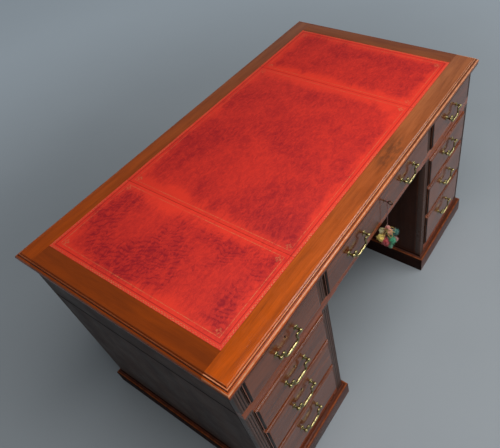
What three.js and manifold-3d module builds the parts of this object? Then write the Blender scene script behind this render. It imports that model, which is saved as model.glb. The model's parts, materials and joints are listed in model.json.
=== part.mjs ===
// Twin-pedestal writing desk with nine drawers, a tooled leather top and brass swan-neck handles.
// Millimetres, +Z up, X along the desk, drawers opening towards -Y.
// The origin is on the floor, below the middle of the desk's outline in plan.

import * as THREE from 'three';
import { mergeVertices } from 'three/addons/utils/BufferGeometryUtils.js';
import Module from 'manifold-3d';

const wasm = await Module();
wasm.setup();

// ---- Driving dimensions -------------------------------------------------------------------

// Fits and clearances
const seam = 0.25; // glue line between boards that meet
const drawerClearance = 1; // between a drawer front and its opening, on each side
const boxClearance = 1.5; // between a drawer box and its guides, on each side
const runnerClearance = 0.5; // between a drawer box and the runner below it
const hingePlay = 0.4; // between a bail's pin and the bore of its post
const lockPlay = 0.5; // between the moving parts of the lock

// Plan of the carcass
const pedestalWidth = 361;
const kneeholeWidth = 618;
const carcassDepth = 726;

// Heights, from the floor up
const plinthHeight = 77;
const bottomRailHeight = 41;
const pedestalOpenings = [160, 142, 124]; // lower, middle and upper drawer
const dividingRailHeight = 14; // also the rail above the upper drawer
const waistRailHeight = 32;
const friezeOpeningHeight = 118;
const friezeTopRailHeight = 10;
const topThickness = 28;

// Boards
const frameThickness = 22;
const sideThickness = 18;
const backThickness = 12;
const dustboardThickness = 12;
const partitionThickness = 18;
const guideHeight = 20;
const runnerReach = 22; // how far a runner stands in from the pedestal's side
const runnerThickness = 14;

// Reeded stiles and pilasters
const stileWidth = 29;
const reedCount = 3;
const reedDepth = 2.5;
const reedMargin = 2.5;
const reedStop = 8; // plain wood left at each end of the reeds

// Kneehole arch below the wide drawer
const shoulderWidth = 45;
const shoulderDrop = 6;

// Top
const sideOverhang = 15;
const frontOverhang = 18;
const backOverhang = 16;
const frontBorder = 78;
const backBorder = 68;
const endBorder = 70;
const leatherThickness = 1.5;
const endPanelLength = 283.5;
const edgeWidth = 16; // from the outermost edge in to the top's flat
const edgeDepth = 15; // from the flat down to the widest point
const edgeArris = 0.75;
const edgeQuirk = 3.5; // the sunk groove between the flat and the bead
const edgeBead = 1.75;
const edgeCove = 2.5;
const edgeFillet = 1.5;

// Plinth
const plinthProud = 15;
const plinthInset = 24; // from the carcass's outside to the plinth's inner face
const plinthNosing = 5; // radius of the rounded nosing below the cove
const plinthCoveDrop = 9;

// Drawers
const frontThickness = 22;
const frontProud = 7;
const frontMargin = 12; // width of the moulded edge
const frontLip = 3; // how far the outer fillet stands proud
const frontFillet = 3;
const boxLength = 600;
const boxSide = 10;
const boxBack = 10;
const boxBottom = 6;
const boxBottomRise = 8; // the bottom sits in a groove above the sides' lower edges
const boxTopDrop = 12; // the box's sides end below the top of the front

// Handles
const postSpacing = 81;
const postReach = 14; // from the drawer's face to the bail's hinge line
const roseRadius = 8.5;
const roseThickness = 2.5;
const stemRadius = 3.25;
const ballRadius = 5.75;
const pinRadius = 1.6;
const bailRadius = 3.5;
const bailDrop = 25;
const bailHalfWidth = 27;
const bailArch = 2.5;
const postRise = 12; // hinge line above the middle of a pedestal drawer
const friezePostRise = -1;
const wideHandleOffset = 156; // each handle of the wide drawer from its middle

// Keyholes, lock, key and fob
const keyholeDrop = 28; // below the top edge of a pedestal drawer's front
const friezeKeyholeDrop = 38;
const keyholeRadius = 3;
const keyholeSlotWidth = 2.6;
const keyholeSlotDrop = 9;
const keyholeDepth = 9;
const lockWidth = 56;
const lockHeight = 58;
const lockThickness = 12;
const lockPlate = 3;
const lockChamber = 8;
const boltWidth = 16;
const boltThickness = 5;
const boltSunk = 1; // below the drawer's top edge when it is withdrawn
const keyShank = 2;
const keyReach = 22; // from the drawer's face to the bow's centre
const keyBitReach = 6.5;
const keyBitWidth = 4;
const keyBitThickness = 2;
const bowRadius = 6.5;
const bowWire = 1.75;
const cordReach = 12; // from the drawer's face to the cord's loop
const cordRadius = 1;
const cordLength = 105;
const fobRadius = 33;
const fobHeight = 85;
const fobBead = 6;

// ---- Worked out from them -----------------------------------------------------------------

const sum = (values) => values.reduce((total, value) => total + value, 0);
const carcassLength = 2 * pedestalWidth + kneeholeWidth;
const carcassFront = -carcassDepth / 2;
const carcassBack = carcassDepth / 2;
const waistHeight = plinthHeight + bottomRailHeight + sum(pedestalOpenings)
  + pedestalOpenings.length * dividingRailHeight;
const carcassTop = waistHeight + waistRailHeight + friezeOpeningHeight + friezeTopRailHeight;
const pedestalCentre = (kneeholeWidth + pedestalWidth) / 2;
const openingWidth = pedestalWidth - 2 * stileWidth;
const boardStart = carcassFront + frameThickness + seam; // behind the face frames
const backStart = carcassBack - backThickness;
const hingeReach = frontProud + postReach;
const frontBack = frontThickness - frontProud; // a front's inner face, behind the carcass's face
const boltInset = frontBack - lockThickness + lockPlate + 2 * lockPlay;

// ---- Materials ----------------------------------------------------------------------------

function finish(color, roughness, metalness = 0) {
  return new THREE.MeshStandardMaterial({ color, roughness, metalness });
}

const borderWood = finish(0x8a4512, 0.25);
const carcassWood = finish(0x4a2a1e, 0.35);
const frontWood = finish(0x66402f, 0.3);
const plinthWood = finish(0x4f2416, 0.4);
const pine = finish(0xb58a58, 0.7);
const leather = finish(0xb52a22, 0.5);
const brass = finish(0xb08d3e, 0.3, 1);
const steel = finish(0x77736b, 0.45, 1);
const silk = finish(0x8c2f2a, 0.8);

// ---- Solids -------------------------------------------------------------------------------

function solidOf(geometry) {
  const bare = geometry.clone();
  bare.deleteAttribute('normal');
  bare.deleteAttribute('uv');
  const merged = mergeVertices(bare, 1e-4);
  return new wasm.Manifold(new wasm.Mesh({
    numProp: 3,
    vertProperties: new Float32Array(merged.attributes.position.array),
    triVerts: new Uint32Array(merged.index.array),
  }));
}

function geometryOf(solid) {
  const mesh = solid.getMesh();
  const geometry = new THREE.BufferGeometry();
  geometry.setAttribute('position', new THREE.BufferAttribute(mesh.vertProperties, 3));
  geometry.setIndex(new THREE.BufferAttribute(mesh.triVerts, 1));
  geometry.computeVertexNormals();
  return geometry;
}

function block(x0, x1, y0, y1, z0, z1) {
  const geometry = new THREE.BoxGeometry(x1 - x0, y1 - y0, z1 - z0);
  geometry.translate((x0 + x1) / 2, (y0 + y1) / 2, (z0 + z1) / 2);
  return solidOf(geometry);
}

function extrude(points, length) {
  const shape = new THREE.Shape(points.map(([u, v]) => new THREE.Vector2(u, v)));
  return new THREE.ExtrudeGeometry(shape, { depth: length, bevelEnabled: false, steps: 1 });
}

// An outline of [y, z] points, run along X
function alongX(points, x0, x1) {
  const geometry = extrude(points, x1 - x0);
  const turn = new THREE.Matrix4().set(0, 0, 1, x0, 1, 0, 0, 0, 0, 1, 0, 0, 0, 0, 0, 1);
  return solidOf(geometry.applyMatrix4(turn));
}

// An outline of [x, z] points, run along Y
function alongY(points, y0, y1) {
  const geometry = extrude(points, y1 - y0);
  const turn = new THREE.Matrix4().set(1, 0, 0, 0, 0, 0, -1, y1, 0, 1, 0, 0, 0, 0, 0, 1);
  return solidOf(geometry.applyMatrix4(turn));
}

// An outline of [x, y] points, run along Z
function alongZ(points, z0, z1) {
  const geometry = extrude(points, z1 - z0);
  return solidOf(geometry.translate(0, 0, z0));
}

function circle(radius, sides) {
  const points = arc(0, 0, radius, radius, 0, 360 - 360 / sides, sides - 1);
  return new THREE.Shape(points.map(([u, v]) => new THREE.Vector2(u, v)));
}

// A profile of [radius, distance] points turned round an axis that runs towards -Y
function turned(profile, sides) {
  const points = profile.map(([radius, distance]) => new THREE.Vector2(radius, -distance));
  return solidOf(new THREE.LatheGeometry(points.reverse(), sides));
}

function rodX(radius, x0, x1, sides) {
  const geometry = new THREE.CylinderGeometry(radius, radius, x1 - x0, sides);
  geometry.rotateZ(Math.PI / 2);
  geometry.translate((x0 + x1) / 2, 0, 0);
  return solidOf(geometry);
}

function rodY(radius, y0, y1, sides) {
  const geometry = new THREE.CylinderGeometry(radius, radius, y1 - y0, sides);
  geometry.translate(0, (y0 + y1) / 2, 0);
  return solidOf(geometry);
}

// Points of an arc round [cx, cy], from one angle to another in degrees
function arc(cx, cy, rx, ry, from, to, steps) {
  const points = [];
  for (let step = 0; step <= steps; step += 1) {
    const angle = THREE.MathUtils.degToRad(from + ((to - from) * step) / steps);
    points.push([cx + rx * Math.cos(angle), cy + ry * Math.sin(angle)]);
  }
  return points;
}

function place(parent, name, solid, material, x = 0, y = 0, z = 0) {
  const mesh = new THREE.Mesh(geometryOf(solid), material);
  mesh.name = name;
  mesh.position.set(x, y, z);
  parent.add(mesh);
  return mesh;
}

// ---- Top: a mitre-moulded border round three leather panels -----------------------------------

const topFront = carcassFront - frontOverhang;
const topBack = carcassBack + backOverhang;
const topEnd = carcassLength / 2 + sideOverhang;
const fieldFront = topFront + frontBorder;
const fieldBack = topBack - backBorder;
const fieldEnd = topEnd - endBorder;

// The moulded edge as [inset from the outermost edge, height], from the flat down to the underside
function topEdge() {
  const beadStart = edgeWidth - edgeQuirk;
  const coveTop = -edgeQuirk - edgeArris;
  const nosing = beadStart - 2 * edgeBead - edgeCove;
  return [
    [edgeWidth, 0],
    [edgeWidth - edgeArris, -edgeArris],
    [beadStart, -edgeQuirk],
    ...arc(beadStart - edgeBead, -edgeQuirk, edgeBead, edgeBead, 0, 180, 4).slice(1),
    ...arc(nosing, coveTop, edgeCove, edgeCove, 0, -90, 3),
    ...arc(nosing, -edgeDepth, nosing, edgeDepth - edgeCove + coveTop, 90, 180, 5).slice(1),
    [0, -edgeDepth - edgeFillet],
    [edgeFillet, -edgeDepth - 2 * edgeFillet],
    [edgeFillet, -topThickness + edgeFillet],
    [2 * edgeFillet, -topThickness],
  ];
}

// A slab with the same moulding worked on all four sides, mitred at the corners
function mouldedSlab(x0, x1, y0, y1, edge) {
  const outline = (low, high) => [
    ...edge.map(([inset, height]) => [low + inset, height]),
    ...edge.map(([inset, height]) => [high - inset, height]).reverse(),
  ];
  return alongX(outline(y0, y1), x0, x1).intersect(alongY(outline(x0, x1), y0, y1));
}

function makeTop() {
  const top = new THREE.Group();
  top.position.z = carcassTop + topThickness;
  const underside = -topThickness;
  const slab = mouldedSlab(-topEnd, topEnd, topFront, topBack, topEdge());
  const cut = (x0, x1, y0, y1) => slab.intersect(block(x0, x1, y0, y1, underside + seam, 1));
  place(top, 'top_front_board', cut(-topEnd, topEnd, topFront, fieldFront - seam), borderWood);
  place(top, 'top_back_board', cut(-topEnd, topEnd, fieldBack + seam, topBack), borderWood);
  place(top, 'top_left_board', cut(-topEnd, -fieldEnd - seam, fieldFront, fieldBack), borderWood);
  place(top, 'top_right_board', cut(fieldEnd + seam, topEnd, fieldFront, fieldBack), borderWood);
  const groundTop = -leatherThickness - seam;
  const ground = block(-fieldEnd, fieldEnd, fieldFront, fieldBack, underside + seam, groundTop);
  place(top, 'top_ground', ground, pine);
  const panelSplit = fieldEnd - endPanelLength;
  const panels = {
    leather_left: [-fieldEnd, -panelSplit - seam],
    leather_centre: [-panelSplit, panelSplit],
    leather_right: [panelSplit + seam, fieldEnd],
  };
  Object.entries(panels).forEach(([name, [x0, x1]]) => {
    place(top, name, block(x0, x1, fieldFront, fieldBack, -leatherThickness, 0), leather);
  });
  return top;
}

// ---- Reeded face frames -------------------------------------------------------------------------

// What is cut from a stile's face to leave its reeds, between two heights
function reeds(centre, z0, z1) {
  const reedWidth = (stileWidth - 2 * reedMargin) / reedCount;
  const start = centre - stileWidth / 2 + reedMargin;
  const crest = carcassFront;
  const outline = [[start, crest - 1]];
  for (let reed = 0; reed < reedCount; reed += 1) {
    const middle = start + (reed + 0.5) * reedWidth;
    outline.push(...arc(middle, crest + reedDepth, reedWidth / 2, reedDepth, 180, 360, 6));
  }
  outline.push([start + reedCount * reedWidth, crest - 1]);
  return alongZ(outline.reverse(), z0 + reedStop, z1 - reedStop);
}

function frameBoard(x0, x1, z0, z1) {
  return block(x0, x1, carcassFront, carcassFront + frameThickness, z0, z1);
}

function opening(x0, x1, z0, z1) {
  return block(x0, x1, carcassFront - 1, carcassFront + frameThickness + 1, z0, z1);
}

// ---- Upper section --------------------------------------------------------------------------------

const upperHeight = carcassTop - waistHeight;
const friezeFloor = waistRailHeight;
const friezeCeiling = waistRailHeight + friezeOpeningHeight;
const outerEdge = carcassLength / 2;
const wideHalf = kneeholeWidth / 2; // the wide drawer fills the kneehole's width
const partitionCentre = wideHalf + stileWidth / 2;
const sideOpenings = [-1, 1].map((side) => {
  const ends = [side * (wideHalf + stileWidth), side * (outerEdge - stileWidth)];
  return [Math.min(...ends), Math.max(...ends)];
});

function kneeholeArch() {
  const half = wideHalf - shoulderWidth;
  const rise = shoulderDrop;
  const corner = shoulderDrop;
  const right = arc(half - corner, rise - corner, corner, corner, 0, 90, 5);
  const left = right.map(([x, z]) => [-x, z]).reverse();
  const outline = [[half, -1], ...right, ...left, [-half, -1]];
  return alongY(outline, carcassFront - 1, carcassFront + frameThickness + 1);
}

function upperFaceFrame() {
  let frame = frameBoard(-outerEdge, outerEdge, seam, upperHeight);
  frame = frame.subtract(opening(-wideHalf, wideHalf, friezeFloor, friezeCeiling));
  sideOpenings.forEach(([x0, x1]) => {
    frame = frame.subtract(opening(x0, x1, friezeFloor, friezeCeiling));
  });
  frame = frame.subtract(kneeholeArch());
  [outerEdge - stileWidth / 2, partitionCentre].forEach((centre) => {
    [-centre, centre].forEach((x) => {
      frame = frame.subtract(reeds(x, friezeFloor - reedStop, upperHeight));
    });
  });
  const boltFront = carcassFront + boltInset - lockPlay;
  const boltBack = boltFront + boltThickness + 2 * lockPlay;
  const boltHalf = boltWidth / 2 + lockPlay;
  const strike = block(-boltHalf, boltHalf, boltFront, boltBack, friezeCeiling - 1, upperHeight + 1);
  return frame.subtract(strike);
}

// A board with a guide strip along each side of its foot, run back from the face frame
function partitionOutline() {
  const half = partitionThickness / 2;
  const foot = stileWidth / 2 - seam;
  const low = friezeFloor + seam;
  const guideTop = low + guideHeight;
  const high = upperHeight;
  return [[-foot, low], [foot, low], [foot, guideTop], [half, guideTop], [half, high], [-half, high],
    [-half, guideTop], [-foot, guideTop]];
}

function makeUpperSection() {
  const upper = new THREE.Group();
  upper.position.z = waistHeight;
  place(upper, 'upper_face_frame', upperFaceFrame(), carcassWood);
  const inside = outerEdge - sideThickness;
  const side = block(inside, outerEdge, boardStart, carcassBack, seam, upperHeight);
  const guideInner = outerEdge - stileWidth;
  const guideTop = friezeFloor + guideHeight;
  const guide = block(guideInner, inside + 1, boardStart, backStart - seam, friezeFloor, guideTop);
  const rightSide = side.add(guide);
  place(upper, 'upper_right_side', rightSide, carcassWood);
  place(upper, 'upper_left_side', rightSide.mirror([1, 0, 0]), carcassWood);
  const back = block(-inside + seam, inside - seam, backStart, carcassBack, seam, upperHeight);
  place(upper, 'upper_back', back, carcassWood);
  const baseSpan = inside - seam;
  const baseFloor = friezeFloor - dustboardThickness;
  const base = block(-baseSpan, baseSpan, boardStart, backStart - seam, baseFloor, friezeFloor - seam);
  place(upper, 'upper_base', base, pine);
  const partition = alongY(partitionOutline(), boardStart, backStart - seam);
  place(upper, 'upper_left_partition', partition, pine, -partitionCentre);
  place(upper, 'upper_right_partition', partition, pine, partitionCentre);
  return upper;
}

// ---- Pedestals ------------------------------------------------------------------------------------

// Floors of a pedestal's drawer openings, from the lowest up
const openingFloors = pedestalOpenings.map((height, index) => (
  plinthHeight + bottomRailHeight + sum(pedestalOpenings.slice(0, index)) + index * dividingRailHeight
));

function pedestalFaceFrame() {
  const half = pedestalWidth / 2;
  let frame = frameBoard(-half, half, plinthHeight + seam, waistHeight);
  pedestalOpenings.forEach((height, index) => {
    const floor = openingFloors[index];
    frame = frame.subtract(opening(-openingWidth / 2, openingWidth / 2, floor, floor + height));
  });
  [-1, 1].forEach((side) => {
    frame = frame.subtract(reeds(side * (half - stileWidth / 2), plinthHeight, waistHeight));
  });
  return frame;
}

// One side with the runners and guides of its three drawers, standing at +X
function pedestalSideOutline() {
  const outer = pedestalWidth / 2;
  const inner = outer - sideThickness;
  const guide = openingWidth / 2;
  const ledge = inner - runnerReach;
  const outline = [[outer, plinthHeight + seam], [outer, waistHeight], [inner, waistHeight]];
  [...openingFloors].reverse().forEach((floor) => {
    const top = floor - runnerClearance;
    outline.push([inner, floor + guideHeight], [guide, floor + guideHeight], [guide, top]);
    outline.push([ledge, top], [ledge, top - runnerThickness], [inner, top - runnerThickness]);
  });
  outline.push([inner, plinthHeight + seam]);
  return outline;
}

// The plinth's outside as [inset, height]: a cove below the carcass over a rounded nosing
function plinthEdge() {
  const cove = plinthProud - plinthNosing;
  const nosingTop = plinthHeight - plinthCoveDrop;
  return [
    ...arc(plinthNosing, plinthHeight, cove, plinthCoveDrop, 0, -90, 4),
    ...arc(plinthNosing, nosingTop - plinthNosing, plinthNosing, plinthNosing, 90, 180, 4).slice(1),
    [0, 0],
  ];
}

function makePlinth() {
  const half = pedestalWidth / 2;
  const outside = half + plinthProud;
  const front = carcassFront - plinthProud;
  const slab = mouldedSlab(-outside, outside, front, carcassBack + plinthProud, plinthEdge());
  const inside = half - plinthInset;
  const hollowFront = carcassFront + plinthInset;
  const hollowBack = carcassBack - plinthInset;
  return slab.subtract(block(-inside, inside, hollowFront, hollowBack, -1, plinthHeight + 1));
}

function makePedestal(hand) {
  const pedestal = new THREE.Group();
  const outward = hand === 'left' ? -1 : 1;
  pedestal.position.x = outward * pedestalCentre;
  const name = (piece) => `${hand}_pedestal_${piece}`;
  const rightSide = alongY(pedestalSideOutline(), boardStart, backStart - seam);
  const leftSide = rightSide.mirror([1, 0, 0]);
  place(pedestal, name('outer_side'), outward > 0 ? rightSide : leftSide, carcassWood);
  place(pedestal, name('inner_side'), outward > 0 ? leftSide : rightSide, carcassWood);
  place(pedestal, name('face_frame'), pedestalFaceFrame(), carcassWood);
  const half = pedestalWidth / 2;
  const back = block(-half, half, backStart, carcassBack, plinthHeight + seam, waistHeight);
  place(pedestal, name('back'), back, carcassWood);
  const inside = half - sideThickness - seam;
  const base = plinthHeight + seam;
  const bottom = block(-inside, inside, boardStart, backStart - seam, base, base + dustboardThickness);
  place(pedestal, name('bottom'), bottom, pine);
  place(pedestal, name('plinth'), makePlinth(), plinthWood);
  return pedestal;
}

// ---- Drawers --------------------------------------------------------------------------------------

// The moulded edge of a drawer front as [inset, how far it stands behind the face], from the face out
function frontEdge() {
  const slopeWidth = frontMargin - frontFillet;
  const slopeDepth = frontProud - frontLip;
  return [
    [0, frontThickness],
    [0, slopeDepth],
    [frontFillet, slopeDepth],
    ...arc(frontMargin, slopeDepth, slopeWidth, slopeDepth, 180, 270, 4).slice(1),
  ];
}

// A front board standing on z = 0, with its raised face at y = -frontProud
function frontBoard(width, height) {
  const edge = frontEdge();
  const face = -frontProud;
  const across = [
    ...edge.map(([inset, depth]) => [-width / 2 + inset, face + depth]),
    ...edge.map(([inset, depth]) => [width / 2 - inset, face + depth]).reverse(),
  ];
  const upright = [
    ...edge.map(([inset, depth]) => [face + depth, inset]),
    ...edge.map(([inset, depth]) => [face + depth, height - inset]).reverse(),
  ];
  return alongZ(across, 0, height).intersect(alongX(upright.reverse(), -width / 2, width / 2));
}

function keyhole(length) {
  const half = keyholeSlotWidth / 2;
  const hole = rodY(keyholeRadius, -frontProud - 1, length - frontProud, 12);
  return hole.add(block(-half, half, -frontProud - 1, length - frontProud, -keyholeSlotDrop, 0));
}

// Rose, stem and ball of a handle's post, with the bore for the bail's pin in its inner side
function handlePost(inward) {
  const roseEdge = roseThickness / 2;
  const rose = [[0, -1], [roseRadius, -1], [roseRadius, roseEdge], [roseRadius - roseEdge, roseThickness]];
  const stem = [[stemRadius, roseThickness + 1], [stemRadius, postReach - ballRadius]];
  const ball = arc(0, postReach, ballRadius, ballRadius, -50, 90, 5);
  const post = turned([...rose, ...stem, ...ball], 10);
  const bore = rodX(pinRadius + hingePlay, 0, ballRadius + 1, 8);
  const turn = inward > 0 ? bore : bore.mirror([1, 0, 0]);
  return post.subtract(turn.translate([0, -postReach, 0]));
}

// Swan-neck bail hanging from its two pins, which lie on the X axis
function bail() {
  const pinEnd = postSpacing / 2 - hingePlay;
  const neck = postSpacing / 2 - ballRadius - hingePlay;
  const throat = bailHalfWidth - bailRadius;
  const half = [
    [neck, 0], [neck - pinRadius, 0], [(neck + throat) / 2, bailArch],
    [throat, bailArch / 3], [throat, -bailDrop / 3], [bailHalfWidth, -bailDrop * 0.62],
    [throat - bailRadius, -bailDrop * 0.94], [bailHalfWidth / 2, -bailDrop],
  ];
  const route = [...half.map(([x, z]) => [-x, z]), ...half.reverse()];
  const points = route.map(([x, z]) => new THREE.Vector3(x, 0, z));
  const path = new THREE.CatmullRomCurve3(points, false, 'centripetal');
  const wire = solidOf(new THREE.ExtrudeGeometry(circle(bailRadius, 8), { steps: 24, extrudePath: path }));
  return wire.add(rodX(pinRadius, neck - 1, pinEnd, 8)).add(rodX(pinRadius, -pinEnd, 1 - neck, 8));
}

// The box behind a front: two sides, a back and a raised bottom
function drawerBox(width, height) {
  const half = width / 2;
  const front = frontBack + seam;
  const back = front + boxLength;
  const floor = boxBottomRise + boxBottom;
  const shell = block(-half, half, front, back, 0, height);
  const inside = block(boxSide - half, half - boxSide, front - 1, back - boxBack, floor, height + 1);
  const under = block(boxSide - half, half - boxSide, front - 1, back + 1, -1, boxBottomRise);
  return shell.subtract(inside).subtract(under);
}

// Mortise lock: a case with a chamber for the key's bit and a channel for the bolt above it
function lockCase(keyholeHeight, height) {
  const half = lockWidth / 2;
  const front = frontBack - lockThickness;
  const chamberFront = front + lockPlate;
  const chamber = rodY(lockChamber, chamberFront, frontBack - lockPlate / 2, 16);
  const channelHalf = boltWidth / 2 + lockPlay;
  const channelFront = boltInset - lockPlay;
  const channelBack = boltInset + boltThickness + lockPlay;
  return block(-half, half, front, frontBack, height - lockHeight, height)
    .subtract(chamber.translate([0, 0, keyholeHeight]))
    .subtract(keyhole(frontProud + chamberFront + 1).translate([0, 0, keyholeHeight]))
    .subtract(block(-channelHalf, channelHalf, channelFront, channelBack, keyholeHeight, height + 1));
}

function lockBolt(keyholeHeight, height) {
  const half = boltWidth / 2;
  const low = keyholeHeight + keyBitReach + lockPlay;
  return block(-half, half, boltInset, boltInset + boltThickness, low, height - boltSunk);
}

// Ring bow, shank and bit, with the shank on the Y axis and the bit hanging down
function deskKey() {
  const bowCentre = -frontProud - keyReach;
  const bitFront = boltInset + (boltThickness - keyBitWidth) / 2;
  const shank = rodY(keyShank, bowCentre + bowRadius, bitFront + keyBitWidth, 12);
  const half = keyBitThickness / 2;
  const bit = block(-half, half, bitFront, bitFront + keyBitWidth, -keyBitReach, 0);
  const ring = new THREE.TorusGeometry(bowRadius, bowWire, 8, 20);
  ring.rotateY(Math.PI / 2);
  ring.translate(0, bowCentre, 0);
  return shank.add(bit).add(solidOf(ring));
}

// A cord looped round the key's shank, hanging to the fob
function fobCord() {
  const loopRadius = keyShank + hingePlay + cordRadius;
  const loop = solidOf(new THREE.TorusGeometry(loopRadius, cordRadius, 8, 16).rotateX(Math.PI / 2));
  const ends = [-loopRadius, -cordLength].map((z) => new THREE.Vector3(0, 0, z));
  const drop = new THREE.LineCurve3(...ends);
  const hanging = new THREE.ExtrudeGeometry(circle(cordRadius, 8), { steps: 12, extrudePath: drop });
  return loop.add(solidOf(hanging));
}

// A soft silk fob hanging from z = 0: a bead over a full tassel
function keyFob() {
  const body = fobHeight - 2 * fobBead;
  const profile = [
    ...arc(0, fobBead, fobBead, fobBead, -90, 50, 5),
    ...arc(0, 2 * fobBead + body / 2, fobRadius, body / 2, -60, 90, 8),
  ];
  const points = profile.map(([radius, depth]) => new THREE.Vector2(radius, -depth)).reverse();
  return solidOf(new THREE.LatheGeometry(points, 14).rotateX(Math.PI / 2));
}

function makeBail(drawer, name, x, z) {
  place(drawer, name, bail(), brass, x, -hingeReach, z);
}

// One drawer with its own fittings; `fit` holds how far the handles and the keyhole sit from the middle
// and the top of its front
function makeDrawer(name, x, floor, openWidth, openHeight, fit) {
  const drawer = new THREE.Group();
  drawer.position.set(x, carcassFront, floor + drawerClearance);
  const width = openWidth - 2 * drawerClearance;
  const height = openHeight - 2 * drawerClearance;
  const keyholeHeight = height - fit.keyholeDrop;
  const hingeHeight = height / 2 + fit.postRise;
  let front = frontBoard(width, height);
  fit.handles.forEach((offset) => {
    [-1, 1].forEach((end) => {
      const post = handlePost(-end);
      front = front.add(post.translate([offset + (end * postSpacing) / 2, -frontProud, hingeHeight]));
    });
  });
  const hasLock = name === 'frieze_centre';
  const holeDepth = hasLock ? frontThickness - lockThickness : keyholeDepth;
  front = front.subtract(keyhole(holeDepth).translate([0, 0, keyholeHeight]));
  const boxHeight = height - boxTopDrop;
  const boxWidth = openWidth - 2 * boxClearance;
  if (hasLock) {
    const half = lockWidth / 2 + seam;
    const pocketFront = frontBack - lockThickness - seam;
    const pocketFloor = height - lockHeight - seam;
    front = front.subtract(block(-half, half, pocketFront, frontBack + 1, pocketFloor, height + 1));
    place(drawer, 'lock_case', lockCase(keyholeHeight, height), steel);
    place(drawer, 'lock_bolt', lockBolt(keyholeHeight, height), steel);
    place(drawer, 'key', deskKey(), brass, 0, 0, keyholeHeight);
    place(drawer, 'fob_cord', fobCord(), silk, 0, -frontProud - cordReach, keyholeHeight);
    const fobTop = keyholeHeight - cordLength - seam;
    place(drawer, 'fob', keyFob(), silk, 0, -frontProud - cordReach, fobTop);
  }
  place(drawer, `${name}_drawer_front`, front, frontWood);
  const boxFloor = runnerClearance - drawerClearance;
  place(drawer, `${name}_drawer_box`, drawerBox(boxWidth, boxHeight), pine, 0, 0, boxFloor);
  fit.handles.forEach((offset, index) => {
    const suffix = fit.handles.length > 1 ? `_${['left', 'right'][index]}` : '';
    makeBail(drawer, `${name}_bail${suffix}`, offset, hingeHeight);
  });
  return drawer;
}

// ---- Assembly ---------------------------------------------------------------------------------------

const pedestalFit = { postRise, keyholeDrop, handles: [0] };
const friezeFit = { postRise: friezePostRise, keyholeDrop: friezeKeyholeDrop, handles: [0] };
const wideFit = { ...friezeFit, handles: [-wideHandleOffset, wideHandleOffset] };
const friezeLevel = waistHeight + friezeFloor;

const desk = new THREE.Group();
desk.add(makeTop());
desk.add(makeUpperSection());
['left', 'right'].forEach((hand) => {
  const outward = hand === 'left' ? -1 : 1;
  const x = outward * pedestalCentre;
  desk.add(makePedestal(hand));
  ['lower', 'middle', 'upper'].forEach((level, index) => {
    const name = `${hand}_${level}`;
    desk.add(makeDrawer(name, x, openingFloors[index], openingWidth, pedestalOpenings[index], pedestalFit));
  });
  desk.add(makeDrawer(`frieze_${hand}`, x, friezeLevel, openingWidth, friezeOpeningHeight, friezeFit));
});
desk.add(makeDrawer('frieze_centre', 0, friezeLevel, kneeholeWidth, friezeOpeningHeight, wideFit));

// Middle the outline over the origin: the key stands out in front of everything else
const frontmost = carcassFront - frontProud - keyReach - bowRadius - bowWire;
desk.position.y = -(frontmost + topBack) / 2;

const group = new THREE.Group();
group.name = 'writing_desk';
group.add(desk);

export default group;
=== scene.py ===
"""Dresses the twin-pedestal writing desk: polished mahogany, tooled hide, cast brass and a silk fob."""

import functools
import json
import math
import random

import bmesh
import bpy
from mathutils import Matrix, Vector

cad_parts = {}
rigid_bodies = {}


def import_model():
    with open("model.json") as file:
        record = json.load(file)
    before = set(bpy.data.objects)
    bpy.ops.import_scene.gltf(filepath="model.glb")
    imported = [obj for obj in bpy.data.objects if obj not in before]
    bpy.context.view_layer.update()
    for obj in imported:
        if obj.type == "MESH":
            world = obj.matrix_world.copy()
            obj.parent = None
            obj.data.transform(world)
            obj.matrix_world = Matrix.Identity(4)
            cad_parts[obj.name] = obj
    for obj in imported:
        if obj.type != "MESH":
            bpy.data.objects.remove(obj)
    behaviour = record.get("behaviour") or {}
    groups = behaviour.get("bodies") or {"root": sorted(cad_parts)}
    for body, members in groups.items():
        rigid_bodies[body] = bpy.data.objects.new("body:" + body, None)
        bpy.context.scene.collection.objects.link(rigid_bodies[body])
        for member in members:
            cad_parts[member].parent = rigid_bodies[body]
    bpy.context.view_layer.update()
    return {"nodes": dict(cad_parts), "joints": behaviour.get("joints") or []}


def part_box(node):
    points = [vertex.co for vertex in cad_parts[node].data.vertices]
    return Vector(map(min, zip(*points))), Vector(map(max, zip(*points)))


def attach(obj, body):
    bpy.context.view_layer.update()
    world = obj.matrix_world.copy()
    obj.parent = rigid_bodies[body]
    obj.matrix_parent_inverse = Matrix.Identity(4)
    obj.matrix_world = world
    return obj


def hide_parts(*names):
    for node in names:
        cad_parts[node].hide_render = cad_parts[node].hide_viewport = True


bl_info = {
    "name": "Writing desk",
    "version": (1, 0, 0),
    "blender": (4, 5, 0),
    "location": "View3D > Sidebar > Desk",
    "description": "Builds the writing desk's boards, hide, brass and studio around its packed frame",
    "category": "Object",
}

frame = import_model()

MM = 0.001
SOFT = 0.5 * MM  # softening of a plain inner board's edges
RUBBED = 6 * MM  # the most that rubbing reaches in from an edge
FIT = 1 * MM  # gap all round a drawer front
LEVELS = ("lower", "middle", "upper")  # a pedestal's drawers


# ---- Colours and kinds of setting ---------------------------------------------------------------


def linear(text):
    """A colour written as six hexadecimal digits, as linear light."""
    parts = [int(text[i : i + 2], 16) / 255 for i in (0, 2, 4)]
    return tuple(p / 12.92 if p <= 0.04045 else ((p + 0.055) / 1.055) ** 2.4 for p in parts)


def tint(name, description, text):
    """A colour setting."""
    return bpy.props.FloatVectorProperty(
        name=name, description=description, default=linear(text), subtype="COLOR", min=0, max=1
    )


def number(name, description, default, **options):
    """A plain number setting."""
    return bpy.props.FloatProperty(name=name, description=description, default=default, **options)


def angle(name, description, degrees):
    """An angle setting, given in degrees."""
    return number(name, description, math.radians(degrees), subtype="ANGLE")


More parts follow.
